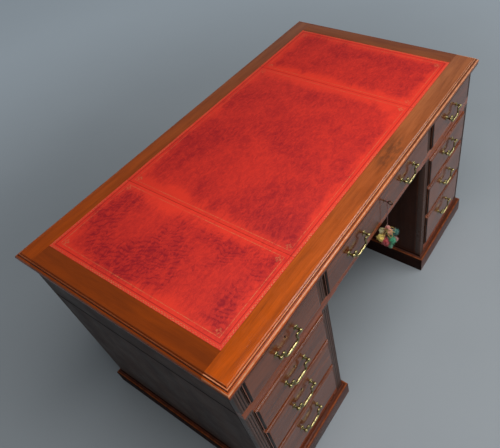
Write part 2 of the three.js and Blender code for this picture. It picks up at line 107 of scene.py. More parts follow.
def length(name, description, millimetres):
    """A length setting, given in millimetres and held in metres."""
    metres = millimetres * MM
    return number(name, description, metres, min=0, unit="LENGTH", subtype="DISTANCE")


# ---- Settings -----------------------------------------------------------------------------------


class DeskTop(bpy.types.PropertyGroup):
    """Moulded top and its hide"""

    edge_width: length("Edge width", "From the outermost edge in to the flat", 16)
    edge_depth: length("Edge depth", "From the flat down to the widest point", 15)
    quirk: length("Quirk", "Sunk groove between the flat and the bead", 3.5)
    bead: length("Bead", "Radius of the bead", 1.75)
    cove: length("Cove", "Radius of the cove below the bead", 2.5)
    fillet: length("Fillet", "Square step below the nosing", 1.5)
    band: length("Gold band", "Width of the tooled band along the hide's edge", 6.5)
    band_inset: length("Band inset", "Plain hide outside the gold band", 1)
    groove_inset: length("Blind line", "Ungilded line pressed inside the gold band", 12)
    line_inset: length("Line inset", "Fine gold line inside the band", 23)
    joint_inset: length("Joint line", "Fine gold line beside a joint between panels", 11.5)
    fleuron: length("Fleuron", "Size of the tooled flower in each corner", 11)


class DeskCarcass(bpy.types.PropertyGroup):
    """Face frames, sides and plinths"""

    stile: length("Stile width", "Width of each reeded stile", 29)
    reed_margin: length("Reed margin", "Plain edge beside the reeds", 2.5)
    reed_depth: length("Reed depth", "How deep the hollows between reeds are", 2.5)
    reed_stop: length("Reed stop", "Plain wood left at each end of the reeds", 8)
    reed_count: bpy.props.IntProperty(
        name="Reeds", description="Reeds on each stile", default=3, min=1, max=9
    )
    arris: length("Arris", "Softening of the boards' edges", 0.7)
    plinth_cove: length("Plinth cove", "Height of the plinth's cove", 9)
    plinth_nosing: length("Plinth nosing", "Radius of the plinth's nosing", 5)
    shoulder: length("Kneehole shoulder", "Width of each shoulder over the kneehole", 45)
    shoulder_drop: length("Shoulder drop", "How far the shoulders come down", 6)


class DeskDrawers(bpy.types.PropertyGroup):
    """Drawer fronts and boxes"""

    margin: length("Margin", "Width of a front's moulded margin", 12)
    raised: length("Raised", "How far a front's face stands above its lip", 4)
    lip: length("Lip", "Width of the square lip round a front", 3)
    keyhole: length("Keyhole", "Radius of a keyhole's round", 3)
    keyhole_slot: length("Keyhole slot", "Width of a keyhole's slot", 2.6)
    keyhole_drop: length("Keyhole drop", "From the round's centre to the slot's end", 9)
    side: length("Drawer side", "Thickness of a drawer's sides", 10)
    back: length("Drawer back", "Thickness of a drawer's back", 10)
    bottom: length("Drawer bottom", "Thickness of a drawer's bottom", 6)
    groove: length("Drawer groove", "From the foot of a drawer's side up to its bottom", 8)


class DeskHandles(bpy.types.PropertyGroup):
    """Brass handles"""

    rose: length("Rose", "Radius of a post's rose", 8.5)
    ball: length("Ball", "Radius of a post's ball", 5.75)
    stem: length("Stem", "Radius of a post's stem", 3)
    neck: length("Neck", "Radius of a bail's necks", 3.2)
    grip: length("Grip", "Radius of a bail's grip", 4.2)
    drop: length("Drop", "How far a bail hangs", 25)
    half_width: length("Half width", "Half the width of a bail's grip", 27)


class DeskFinishes(bpy.types.PropertyGroup):
    """Colours of the woods, hide, metals and silk"""

    border: tint("Border", "Golden mahogany of the top's front board", "d95c02")
    # painted shade: the border boards darken toward their right-hand end as the light falls off
    border_shaded_end: tint("Border, right", "The border boards' colour at the right-hand end", "b4693a")
    border_dark: tint("Border figure", "Darker figure in the border boards", "62290a")
    front: tint("Front", "Mahogany of the drawer fronts", "884726")
    front_dark: tint("Front figure", "Darker figure in the fronts", "4e2412")
    carcass: tint("Carcass", "Mahogany of the carcass", "583a2b")
    carcass_dark: tint("Carcass figure", "Darker figure in the carcass", "2a1710")
    rail: tint("Rails", "Red mahogany of the rails and waist", "a34e2c")
    plinth: tint("Plinth", "Mahogany of the plinths", "6e3019")
    # partly wear and partly a painted highlight: the top's front edges are lightened where light
    # catches the nosing and bead
    border_edge_wear_and_highlight: tint("Worn top edge", "Colour of the top's edge where it is rubbed", "e09a70")
    edge: tint("Worn edges", "Colour of the wood where its edges are rubbed", "b4602f")
    pine: tint("Pine", "Planed softwood inside", "b88f5e")
    hide: tint("Hide", "Red hide of the writing surface", "e83b2b")
    hide_dark: tint("Hide mottling", "Dark mottling in the hide", "901a24")
    gold: tint("Gold leaf", "Tooling on the hide", "cf8e5e")
    brass: tint("Brass", "Worn cast brass", "948759")
    patina: tint("Patina", "Dark patina in the brass's hollows", "3f3117")
    steel: tint("Steel", "Lock", "79746a")
    bronze: tint("Key", "Tarnished key", "7a5a44")


class DeskStudio(bpy.types.PropertyGroup):
    """Floor, lights and camera"""

    floor: tint("Floor", "Pale floor", "a0a7ac")
    backdrop: tint("Backdrop", "Pale room beyond the floor", "78828a")
    key_power: number("Key power", "Power of the light at the right", 58, min=0)
    window_power: number("Window power", "Power of the long light in front", 14, min=0)
    top_power: number("Top power", "Power of the light overhead", 46, min=0)
    world: number("Surroundings", "Strength of the light from all round", 0.2, min=0)
    azimuth: angle("Azimuth", "Heading of the camera", 50.1426)
    tilt: angle("Tilt", "How far the camera looks down", 46.1961)
    roll: angle("Roll", "Roll of the camera", -9.3554)
    lens: number("Lens", "Focal length in millimetres", 36.62)
    place: bpy.props.FloatVectorProperty(
        name="Place",
        description="Where the camera stands",
        default=(-0.88, -0.8402, 1.7581),
        subtype="XYZ",
    )
    shift: bpy.props.FloatVectorProperty(
        name="Shift", description="Framing shift of the camera", default=(-0.1288, -0.042), size=2
    )


def group_of(kind, name):
    """A group of settings, described by its own docstring."""
    return bpy.props.PointerProperty(type=kind, name=name, description=kind.__doc__)


class DeskSettings(bpy.types.PropertyGroup):
    """Everything a user would change on the writing desk"""

    top: group_of(DeskTop, "Top")
    carcass: group_of(DeskCarcass, "Carcass")
    drawers: group_of(DeskDrawers, "Drawers")
    handles: group_of(DeskHandles, "Handles")
    finishes: group_of(DeskFinishes, "Finishes")
    studio: group_of(DeskStudio, "Studio")


def settings():
    """The desk's settings in the open scene."""
    return bpy.context.scene.writing_desk


# ---- Mesh code ----------------------------------------------------------------------------------

WEAR = "wear"  # per vertex: above a half is rubbed edge, below it is hollow, which the woods darken as painted shade


def piece(name, bm, material, body, replaces=(), smooth=40):
    """Turns a bmesh into a finished piece on a body."""
    bmesh.ops.recalc_face_normals(bm, faces=bm.faces)
    mesh = bpy.data.meshes.new(name)
    bm.to_mesh(mesh)
    bm.free()
    mesh.shade_smooth()
    mesh.set_sharp_from_angle(angle=math.radians(smooth))
    mesh.materials.append(material)
    made = linked(name, mesh)
    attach(made, body)
    if replaces:
        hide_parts(*replaces)
    return made


def worn(bm):
    """The wear layer of a bmesh."""
    return bm.verts.layers.float.get(WEAR) or bm.verts.layers.float.new(WEAR)


def linked(name, data):
    """A new object in the scene."""
    made = bpy.data.objects.new(name, data)
    bpy.context.scene.collection.objects.link(made)
    return made


def loft(bm, rings, caps=True, wear=None):
    """Joins rings of points into a skin; wear holds one value a ring, or a list of them."""
    layer = worn(bm)
    made = []
    for ring, value in zip(rings, wear or [0.5] * len(rings)):
        verts = [bm.verts.new(point) for point in ring]
        for k, vert in enumerate(verts):
            vert[layer] = value[k] if isinstance(value, (list, tuple)) else value
        made.append(verts)
    count = len(made[0])
    for low, high in zip(made, made[1:]):
        for k in range(count):
            bm.faces.new((low[k], low[(k + 1) % count], high[(k + 1) % count], high[k]))
    if caps:
        bm.faces.new(list(reversed(made[0])))
        bm.faces.new(made[-1])
    return made


def arc(cx, cy, rx, ry, start, stop, steps):
    """Points of an arc, in degrees."""
    turns = [math.radians(start + (stop - start) * k / steps) for k in range(steps + 1)]
    return [(cx + rx * math.cos(t), cy + ry * math.sin(t)) for t in turns]


def rectangle(x0, x1, y0, y1, inset, z):
    """The four corners of an inset rectangle at one height."""
    return [
        (x0 + inset, y0 + inset, z),
        (x1 - inset, y0 + inset, z),
        (x1 - inset, y1 - inset, z),
        (x0 + inset, y1 - inset, z),
    ]


def circle(sides):
    """The angles of a closed circle's points."""
    return [2 * math.pi * k / sides for k in range(sides)]


def board(bm, low, high, arris, wear=0.62):
    """A board between two corners with softened edges, whose arrises are a little rubbed."""
    layer = worn(bm)
    made = bmesh.ops.create_cube(bm, size=1)["verts"]
    middle = (Vector(low) + Vector(high)) / 2
    size = Vector(high) - Vector(low)
    for vert in made:
        vert.co = Vector(c * s for c, s in zip(vert.co, size)) + middle
        vert[layer] = 0.5
    if not arris:
        return
    edges = list(dict.fromkeys(edge for vert in made for edge in vert.link_edges))
    bevelled = bmesh.ops.bevel(
        bm,
        geom=edges,
        offset=arris,
        segments=2,
        affect="EDGES",
        profile=0.5,
        clamp_overlap=True,
    )
    for vert in bevelled["verts"]:
        vert[layer] = wear
    broad = {face for vert in bevelled["verts"] for face in vert.link_faces}
    for face in sorted(broad, key=lambda f: tuple(f.calc_center_median())):
        narrowest = min(edge.calc_length() for edge in face.edges)
        if narrowest > 4 * arris:
            inset = min(RUBBED, narrowest * 0.3)
            bmesh.ops.inset_individual(bm, faces=[face], thickness=inset, use_even_offset=True)
            for vert in face.verts:
                vert[layer] = 0.5


def extruded(bm, outline, at):
    """A closed outline given a thickness; `at` turns an outline point and 0 or 1 into a place."""
    loft(bm, [[at(point, end) for point in outline] for end in (0, 1)])


def plank(name, low, high, material, slot, replaces=(), body="desk", arris=SOFT, wear=0.62):
    """A piece that is one board."""
    bm = bmesh.new()
    board(bm, low, high, arris, wear)
    piece(name, bm, material, body, replaces)


def turned(bm, profile, origin, axis=(0, -1, 0), sides=24):
    """A profile of (radius, distance, wear) points turned round an axis from an origin."""
    axis = Vector(axis).normalized()
    across = axis.orthogonal().normalized()
    along = axis.cross(across)
    rings = []
    for radius, distance, _ in profile:
        centre = Vector(origin) + axis * distance
        spokes = [across * math.cos(t) + along * math.sin(t) for t in circle(sides)]
        rings.append([centre + spoke * radius for spoke in spokes])
    loft(bm, rings, wear=[wear for _, _, wear in profile])


def tube(bm, points, radii, sides=12, wear=None):
    """A round wire through points, with a radius at each, kept from twisting."""
    points = [Vector(p) for p in points]
    normal = None
    rings = []
    for k, point in enumerate(points):
        ahead = points[min(k + 1, len(points) - 1)] - points[max(k - 1, 0)]
        ahead.normalize()
        if normal is None:
            normal = ahead.orthogonal().normalized()
        normal = (normal - ahead * normal.dot(ahead)).normalized()
        side = ahead.cross(normal)
        spokes = [normal * math.cos(t) + side * math.sin(t) for t in circle(sides)]
        rings.append([point + spoke * radii[k] for spoke in spokes])
    loft(bm, rings, wear=wear)


def spline(points, steps):
    """A smooth open curve through points, as Catmull and Rom have it."""
    points = [Vector(p) for p in points]
    padded = [points[0] * 2 - points[1], *points, points[-1] * 2 - points[-2]]
    made = []
    for a, b, c, d in zip(padded, padded[1:], padded[2:], padded[3:]):
        for s in range(steps):
            t = s / steps
            square = (2 * a - 5 * b + 4 * c - d) * t * t
            cube = (3 * b - a - 3 * c + d) * t**3
            made.append(0.5 * (2 * b + (c - a) * t + square + cube))
    made.append(points[-1])
    return made


# ---- Shader maths -------------------------------------------------------------------------------


class Value:
    """A socket of a node tree; arithmetic on it adds Math nodes."""

    def __init__(self, nodes, socket):
        self.nodes = nodes
        self.socket = socket

    def maths(self, operation, *values):
        return self.nodes.value("ShaderNodeMath", {"operation": operation}, dict(enumerate(values)))

    def __add__(self, other):
        return self.maths("ADD", self, other)

    def __sub__(self, other):
        return self.maths("SUBTRACT", self, other)

    def __rsub__(self, other):
        return self.maths("SUBTRACT", other, self)

    def __mul__(self, other):
        return self.maths("MULTIPLY", self, other)

    def __truediv__(self, other):
        return self.maths("DIVIDE", self, other)

    def __abs__(self):
        return self.maths("ABSOLUTE", self)

    def __pow__(self, other):
        return self.maths("POWER", self, other)

    __radd__, __rmul__ = __add__, __mul__

    def least(self, other):
        return self.maths("MINIMUM", self, other)

    def most(self, other):
        return self.maths("MAXIMUM", self, other)

    def sine(self):
        return self.maths("SINE", self)

    def cosine(self):
        return self.maths("COSINE", self)

    def ramp(self, low, high, to_low=0.0, to_high=1.0):
        """This value, smoothly mapped from one range to another."""
        return self.nodes.value(
            "ShaderNodeMapRange",
            {"interpolation_type": "SMOOTHSTEP"},
            {"Value": self, "From Min": low, "From Max": high, "To Min": to_low, "To Max": to_high},
        )


class Nodes:
    """A node tree and what is added to it."""

    def __init__(self, tree):
        self.nodes = tree.nodes
        self.links = tree.links

    def feed(self, socket, value):
        """Links or sets one socket."""
        if isinstance(value, Value):
            self.links.new(value.socket, socket)
        elif socket.type == "RGBA":
            socket.default_value = (*value, 1)
        else:
            socket.default_value = value

    def node(self, kind, options=None, inputs=None):
        """A node of a kind, with its options set first and then its sockets."""
        node = self.nodes.new(kind)
        for key, value in (options or {}).items():
            setattr(node, key, value)
        for key, value in (inputs or {}).items():
            self.feed(node.inputs[key], value)
        return node

    def value(self, kind, options=None, inputs=None, output=0):
        """One output of a new node."""
        return Value(self, self.node(kind, options, inputs).outputs[output])

    def place(self):
        """Where a point of the piece lies, in metres."""
        return self.value("ShaderNodeTexCoord", output="Object")

    def parts(self, vector):
        """A vector's three numbers."""
        node = self.node("ShaderNodeSeparateXYZ", None, {0: vector})
        return [Value(self, output) for output in node.outputs]

    def stretched(self, scale, move=(0, 0, 0), turn=(0, 0, 0)):
        """The place, moved, turned and scaled, to read a texture at."""
        return self.value(
            "ShaderNodeMapping",
            None,
            {"Vector": self.place(), "Location": move, "Rotation": turn, "Scale": scale},
        )

    def noise(self, vector, scale, detail=4.0, roughness=0.55, distortion=0.0):
        """Cloudy noise, from nought to one."""
        inputs = {"Vector": vector, "Scale": scale, "Detail": detail}
        inputs |= {"Roughness": roughness, "Distortion": distortion}
        return self.value("ShaderNodeTexNoise", None, inputs)

    def cells(self, vector, scale, feature="F1"):
        """Cellular noise."""
        return self.value(
            "ShaderNodeTexVoronoi", {"feature": feature}, {"Vector": vector, "Scale": scale}
        )

    def mix(self, share, first, second):
        """Two colours mixed."""
        return self.value(
            "ShaderNodeMix", {"data_type": "RGBA"}, {0: share, 6: first, 7: second}, 2
        )

    def rays(self, *kinds):
        """One for a ray of any of these kinds, and nought for the others."""
        outputs = self.node("ShaderNodeLightPath").outputs
        return functools.reduce(Value.most, [Value(self, outputs[kind]) for kind in kinds])


class Finish(Nodes):
    """A procedural material."""

    def __init__(self, name):
        self.material = bpy.data.materials.new(name)
        self.material.use_nodes = True
        super().__init__(self.material.node_tree)
        self.shader = self.nodes["Principled BSDF"]

    def wear(self):
        """The rubbed edges and hollows that the mesh code marked."""
        return self.value("ShaderNodeAttribute", {"attribute_name": WEAR}, output="Fac")

    def bump(self, height, distance, strength):
        """Relief of a height in metres."""
        inputs = {"Height": height, "Distance": distance, "Strength": strength}
        self.feed(self.shader.inputs["Normal"], self.value("ShaderNodeBump", None, inputs))

    def set(self, **inputs):
        """Sets or links the shader's own sockets; underscores stand for spaces."""
        for key, value in inputs.items():
            self.feed(self.shader.inputs[key.replace("_", " ")], value)
        return self.material


# how a texture is stretched for grain along each axis
GRAIN = {"x": (1, 9, 9), "y": (9, 1, 9), "z": (9, 9, 1)}


def tone(name, share=1.0):
    """A colour setting, darkened to a share of itself."""
    return tuple(Vector(getattr(settings().finishes, name)) * share)


SPILL = (0.115, -0.324, 0.11, 0.036)  # middle and half sizes of an old stain, in metres


def mahogany(
    name,
    colours,
    along,
    seed,
    shine,
    figure=1.0,
    rub=0.55,
    gleam=0.4,
    coat=0.15,
    away=None,
    spill=None,
    left_shade_share=0.0,
):
    """
    French-polished mahogany whose grain runs along an axis.

    colours are its light wood, its dark figure and its rubbed edges (on the top's front board partly
    a painted highlight), away the light wood at the right-hand end (a painted falloff of light),
    spill the middle and half sizes of a stain, and the left shade share how much darker and duller
    the faces toward the left are painted, as shade.
    """
    light, dark, edge = colours
    f = Finish(name)
    # painted falloff of light toward the right-hand end
    if away:
        light = f.mix(f.parts(f.place())[0].ramp(-0.75, 0.6), light, away)
    stretch = GRAIN[along]
    move = (seed * 1.37, seed * 0.71, seed * 0.53)
    grain = f.stretched(stretch, move)
    broad = f.noise(grain, 2.2, 3, 0.5, 0.6).ramp(0.3, 0.7)
    ribbon = f.noise(grain, 11, 4, 0.6, 0.3).ramp(0.3, 0.72)
    streak = f.noise(f.stretched([s**1.6 for s in stretch], move), 14, 5, 0.65)
    pore = f.noise(f.stretched([s**2 for s in stretch], move), 12, 2, 0.5).ramp(0.6, 0.72)
    figured = (broad * 0.5 + ribbon * 0.3 + streak.ramp(0.3, 0.7) * 0.2) * figure
    wood = f.mix(figured, light, dark)
    wood = f.mix(pore * 0.35, wood, dark)
    if spill:
        x, y, _ = f.parts(f.place())
        off = (((x - spill[0]) / spill[2]) ** 2 + ((y - spill[1]) / spill[3]) ** 2) ** 0.5
        ragged = f.noise(f.stretched((1, 2.4, 1), move), 34, 5, 0.7).ramp(0.4, 0.6)
        wood = f.mix(off.ramp(0.3, 1.0, 1.0, 0.0) * ragged * 0.52, wood, linear("3e2c1c"))
    patchy = f.noise(f.place(), 60, 3).ramp(0.3, 0.6, 0.4, 1.0)
    wood = f.mix(f.wear().ramp(0.5, 1.0) * rub * patchy, wood, edge)
    # painted shade: the woods' hollows are darkened toward their dark figure
    hollow = f.wear().ramp(0.5, 0.0)
    wood = f.mix(hollow * 0.85, wood, tuple(c * 0.25 for c in dark))
    haze = f.noise(f.place(), 9, 4, 0.6)
    polish = haze.ramp(0.3, 0.7, shine - 0.05, shine + 0.09) + hollow * 0.3
    # painted shade: faces turned toward the left, away from the lights, are darkened and dulled
    if left_shade_share:
        normal = f.value("ShaderNodeNewGeometry", output="Normal")
        left_shade_mask = f.parts(normal)[0].ramp(-0.65, -0.15, left_shade_share, 0.0)
        wood = f.mix(left_shade_mask, wood, tuple(c * 0.5 for c in dark))
        polish = polish + left_shade_mask * 0.6
    f.bump(streak * 0.5 - pore * 0.8, 0.12 * MM, 0.35)
    return f.set(
        Base_Color=wood,
        Roughness=polish,
        Coat_Weight=coat,
        Coat_Roughness=0.08,
        Specular_IOR_Level=gleam,
    )


@functools.cache
def border_wood(along, seed, lit_share):
    """Golden mahogany of the top's boards, painted redder and darker away from the light."""
    dark = Vector(tone("border_dark"))
    light, away = [tuple(dark.lerp(Vector(tone(name)), lit_share)) for name in ("border", "border_shaded_end")]
    # the front board's rubbed edges carry the painted highlight in full, the other boards' hardly
    edge = tuple(dark.lerp(Vector(tone("border_edge_wear_and_highlight")), max(0.12, 2 * lit_share - 1)))
    # the front board's left end takes the same painted shade
    at_front = {"spill": SPILL, "left_shade_share": 0.55} if lit_share == 1 else {}
    return mahogany(
        f"border_wood_{along}{seed}",
        (light, tuple(dark), edge),
        along,
        seed,
        shine=0.14,
        figure=0.75,
        rub=0.95,
        gleam=0.17,
        coat=0.16,
        away=away,
        **at_front,
    )


@functools.cache
def front_wood(seed):
    """Drawer fronts."""
    colours = tone("front"), tone("front_dark"), tone("edge")
    return mahogany(f"front_wood_{seed}", colours, "x", seed, shine=0.17, rub=0.45)


@functools.cache
def shaded_margin_wood(seed):
    """The upright margins of the fronts, darkened as painted shade."""
    colours = tone("carcass", 0.22), tone("carcass_dark", 0.22), tone("carcass")
    name = f"shaded_margin_wood_{seed}"
    return mahogany(name, colours, "z", seed, shine=0.4, rub=0.6, gleam=0.2, coat=0.0)


@functools.cache
def kneehole_shade_wood(along, seed):
    """The kneehole's sides, darkened as painted shade."""
    colours = tone("front", 0.3), tone("front_dark", 0.3), tone("front")
    name = f"kneehole_shade_wood_{along}{seed}"
    return mahogany(name, colours, along, seed, shine=0.5, gleam=0.2, coat=0.0)


@functools.cache
def stile_wood(seed):
    """Reeded stiles, a little rubbed on the reeds."""
    colours = tone("carcass", 0.9), tone("carcass_dark"), tone("front")
    name = f"stile_wood_{seed}"
    return mahogany(name, colours, "z", seed, shine=0.3, rub=0.45, gleam=0.35, coat=0.05)


@functools.cache
def carcass_wood(along, seed):
    """Sides and backs."""
    colours = tone("carcass"), tone("carcass_dark"), tone("edge")
    name = f"carcass_wood_{along}{seed}"
    return mahogany(name, colours, along, seed, shine=0.48, gleam=0.25, coat=0.0)


@functools.cache
def rail_wood(seed):
    """Rails and the waist band."""
    colours = tone("rail"), tone("carcass_dark"), tone("edge")
    return mahogany(f"rail_wood_{seed}", colours, "x", seed, shine=0.25, figure=0.7)


@functools.cache
def plinth_wood(seed):
    """Plinths, scuffed along the floor, with painted shade on their faces toward the left."""
    colours = tone("plinth"), tone("carcass_dark"), tone("edge")
    name = f"plinth_wood_{seed}"
    return mahogany(name, colours, "x", seed, shine=0.3, gleam=0.15, coat=0.0, left_shade_share=0.85)


@functools.cache
def pine_wood(along, seed):
    """Planed softwood with its year rings, in darker and lighter patches."""
    f = Finish(f"pine_{along}{seed}")
    grain = f.stretched([s**0.9 for s in GRAIN[along]], (seed * 0.9, seed * 0.4, seed * 0.7))
    rings = f.value(
        "ShaderNodeTexWave",
        {"wave_type": "BANDS", "bands_direction": "DIAGONAL"},
        {"Vector": grain, "Scale": 3.2, "Distortion": 5.0, "Detail": 3.0, "Detail Scale": 1.2},
        "Fac",
    )
    blotch = f.noise(f.place(), 7, 4).ramp(0.35, 0.7)
    wood = f.mix(rings.ramp(0.5, 1.0) * 0.5, tone("pine"), tone("pine", 0.55))
    wood = f.mix(blotch * 0.35, wood, tone("pine", 0.7))
    f.bump(rings, 0.1 * MM, 0.3)
    return f.set(Base_Color=wood, Roughness=rings.ramp(0.0, 1.0, 0.55, 0.7))


def mottled_red(f, x, y, rim):
    """Red hide's colour, its dark mottling and its fine veins; rim is the way in from its edge."""
    cloud = f.noise(f.place(), 5, 4, 0.55, 0.6)
    streaks = f.noise(f.stretched((1, 2.2, 1), (3, 1, 0), (0, 0, -0.9)), 24, 7, 0.72, 1.2)
    vein = f.noise(f.stretched((1, 1.4, 1), (1, 4, 0), (0, 0, 0.7)), 95, 6, 0.75, 0.8)
    warp = f.noise(f.place(), 7, 4, 0.6)
    creases = (x * 420 + y * 150 + warp * 60 + vein * 4).sine().ramp(0.0, 1.0)
    creases = creases * cloud.ramp(0.42, 0.56)
    creases = creases * x.ramp(-0.42, -0.28, 0.5, 0.0) * streaks.ramp(0.38, 0.6, 0.2, 1.0)
    patches = cloud.ramp(0.3, 0.7)
    veining = streaks.ramp(0.34, 0.68) * 0.5 + vein.ramp(0.34, 0.66) * 0.5
    mottle = 0.13 + patches * 0.2 + veining * 0.46 + patches * veining * 0.32 + creases * 0.85
    mottle = mottle.least(1.0)
    ragged = rim + (cloud - 0.5) * 0.09 + (streaks - 0.5) * 0.04
    handled = ragged.ramp(8 * MM, 56 * MM, 1.0, 0.0)
    red = f.mix(mottle * (1 - handled * 0.72) * 0.92, tone("hide"), tone("hide_dark"))
    return f.mix(handled * 0.36, red, linear("f4402a")), mottle, vein


def gold_chain(x, y, edge):
    """The tooled band along the hide's edge: a chain between two lines."""
    t = settings().top
    fade = 0.6 * MM
    band = (edge - t.band_inset).ramp(0.0, fade) * (t.band_inset + t.band - edge).ramp(0.0, fade)
    chain = ((x * 700).sine() * (y * 700).sine()).ramp(-0.2, 0.2)
    across = abs(edge - (t.band_inset + t.band / 2)) / (t.band / 2)
    return band * (across.ramp(0.7, 0.85) * 0.8 + chain * 0.75).least(1.0)


def gold_flower(f, x, y):
    """A four-petalled flower about the point where x and y are nought."""
    size = settings().top.fleuron
    reach = (x * x + y * y) ** 0.5
    turn = f.value("ShaderNodeMath", {"operation": "ARCTAN2"}, {0: y, 1: x})
    petals = abs((turn * 2).cosine()) * 0.6 + 0.4
    flower = (petals * (size * 0.85) - reach).ramp(0.0, 0.8 * MM)
    flower = flower * (reach - size * 0.2).ramp(0.0, 0.6 * MM)
    return flower * (1 - (1 - abs((turn * 4).sine()).ramp(0.0, 0.25)) * 0.6)


@functools.cache
def tooled_hide(x0, x1, y0, y1, left_inset, right_inset):
    """Red hide with dark mottling, gold-tooled inside the edges of one panel."""
    f = Finish("hide")
    t = settings().top
    x, y, _ = f.parts(f.place())
    depth = (y - y0).least(y1 - y)
    rim = (x - x0).least(x1 - x).least(depth)
    red, mottle, vein = mottled_red(f, x, y, rim)
    edge = (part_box("leather_right")[1].x - abs(x)).least(depth)
    groove = (1 - abs(edge - t.groove_inset).ramp(0.6 * MM, 1.6 * MM)) * 0.55
    red = f.mix(groove, red, linear("7c1418"))
    red = f.mix(rim.ramp(0.1 * MM, 0.9 * MM, 0.55, 0.0), red, linear("3c0a08"))
    inner_x = (x - (x0 + left_inset)).least((x1 - right_inset) - x)
    inner_y = depth - t.line_inset
    line = 1 - abs(inner_x.least(inner_y)).ramp(0.6 * MM, 1.3 * MM)
    flower = gold_flower(f, inner_x - t.fleuron, inner_y - t.fleuron)
    tooling = gold_chain(x, y, edge).most(line * 0.65).most(flower * 0.6)
    rubbed = f.noise(f.place(), 16, 3).ramp(0.3, 0.6, 0.35, 1.0)
    gilt = tooling * (f.noise(f.place(), 240, 5, 0.7).ramp(0.34, 0.6) * rubbed)
    crackle = f.cells(f.place(), 160, "DISTANCE_TO_EDGE").ramp(0.0, 0.12)
    pebble = f.cells(f.place(), 900)
    f.bump(vein * 0.5 + crackle * 0.3 + pebble * 0.12 - tooling * 0.6, 0.6 * MM, 0.5)
    return f.set(
        Base_Color=f.mix(gilt * 0.9, red, tone("gold")),
        Roughness=mottle.ramp(0.0, 1.0, 0.5, 0.62) - gilt * 0.1,
        Metallic=gilt * 0.3,
        Specular_IOR_Level=0.14,
    )


@functools.cache
def cast_brass():
    """Worn cast brass, bright where it is rubbed, partly as a painted highlight, and dark in its
    hollows.
    """
    f = Finish("cast_brass")
    age = f.noise(f.place(), 180, 5, 0.6)
    hollow = f.wear().ramp(0.5, 0.0)
    share = (age.ramp(0.42, 0.72) * 0.5 + hollow * 0.8).least(1.0)
    metal = f.mix(share, tone("brass"), tone("patina"))
    # partly wear and partly a painted highlight on the balls and grips
    metal = f.mix(f.wear().ramp(0.55, 1.0) * 0.6, metal, linear("ddca90"))
    f.bump(f.noise(f.place(), 700, 3), 0.1 * MM, 0.35)
    return f.set(Base_Color=metal, Metallic=1.0, Roughness=share.ramp(0.0, 1.0, 0.18, 0.5))


@functools.cache
def dull_steel():
    """Filed steel of the lock."""
    f = Finish("dull_steel")
    rust = f.noise(f.place(), 260, 5, 0.65)
    metal = f.mix(rust.ramp(0.5, 0.75), tone("steel"), linear("4a3527"))
    f.bump(f.noise(f.stretched((1, 1, 9)), 500, 3), 0.1 * MM, 0.4)
    return f.set(Base_Color=metal, Metallic=0.85, Roughness=rust.ramp(0.3, 0.8, 0.35, 0.6))


@functools.cache
def old_bronze():
    """The tarnished key."""
    f = Finish("old_bronze")
    tarnish = f.noise(f.place(), 320, 5, 0.65)
    metal = f.mix(tarnish.ramp(0.4, 0.7), tone("bronze"), tone("bronze", 0.4))
    f.bump(tarnish, 0.1 * MM, 0.3)
    return f.set(Base_Color=metal, Metallic=0.9, Roughness=tarnish.ramp(0.3, 0.8, 0.3, 0.55))


@functools.cache
def silk(name, text, deep):
    """Dyed silk thread, paler at its ends as a painted highlight."""
    f = Finish(f"silk_{name}")
    base = linear(text)
    strand = f.noise(f.place(), 900, 3, 0.6)
    twist = f.noise(f.place(), 160, 3)
    shade = strand.ramp(0.3, 0.7) * 0.5 + twist.ramp(0.4, 0.7) * 0.5
    dye = f.mix(shade, base, linear(deep))
    # painted highlight: the strands' tips are paler
    dye = f.mix(f.wear().ramp(0.6, 0.8) * 0.25, dye, tuple(c * 0.5 + 0.4 for c in base))
    f.bump(strand, 0.2 * MM, 0.6)
    return f.set(Base_Color=dye, Roughness=strand.ramp(0.2, 0.8, 0.45, 0.75), Sheen_Weight=0.4)


@functools.cache
def void_black():
    """The unlit inside of a keyhole."""
    f = Finish("keyhole_dark")
    dark = f.mix(f.noise(f.place(), 300, 2).ramp(0.3, 0.7), linear("120b08"), linear("24160f"))
    return f.set(Base_Color=dark, Roughness=0.8)


# ---- Top ----------------------------------------------------------------------------------------


def top_profile():
    """The moulded edge from the flat down to the underside, as (inset, height, wear)."""
    t = settings().top
    low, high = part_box("top_front_board")
    depth = high.z - low.z
    start = t.edge_width - t.quirk
    cove_top = -t.quirk - 0.75 * MM
    nosing = start - 2 * t.bead - t.cove
    # the quirk, the cove and the fillets under the nosing are marked hollow: painted shade
    made = [
        (t.edge_width + 0.9 * MM, 0, 0.55),
        (t.edge_width, -0.25 * MM, 0.8),
        (t.edge_width - 0.75 * MM, -1.1 * MM, 0.6),
        (start + 0.2 * MM, -t.quirk, 0.0),
    ]
    # painted highlight: the bead's upper half is marked rubbed
    for u, v in arc(start - t.bead, -t.quirk, t.bead, t.bead, 12, 168, 8):
        made.append((u, v, 0.35 + 0.6 * max(0.0, (v + t.quirk) / t.bead)))
    for u, v in arc(nosing, cove_top, t.cove, t.cove, -8, -82, 5):
        made.append((u, v, 0.12))
    rise = t.edge_depth - t.cove + cove_top
    # painted highlight: a band round the nosing is marked rubbed
    for u, v in arc(nosing, -t.edge_depth, nosing, rise, 88, 180, 10):
        made.append((u, v, 0.95 if 0.5 < (v + t.edge_depth) / rise < 0.95 else 0.45))
    step = t.fillet
    return made + [
        (0, -t.edge_depth - step, 0.45),
        (step, -t.edge_depth - 2 * step, 0.1),
        (step, step - depth, 0.15),
        (2 * step, -depth, 0.15),
    ]


def cut_away(bm, point, normal):
    """Cuts a mesh by a plane, throws away what is in front of it and closes the cut."""
    geometry = [*bm.verts, *bm.edges, *bm.faces]
    made = bmesh.ops.bisect_plane(
        bm, geom=geometry, dist=1e-7, plane_co=point, plane_no=normal, clear_outer=True
    )
    edges = [e for e in made["geom_cut"] if isinstance(e, bmesh.types.BMEdge)]
    bmesh.ops.contextual_create(bm, geom=edges)


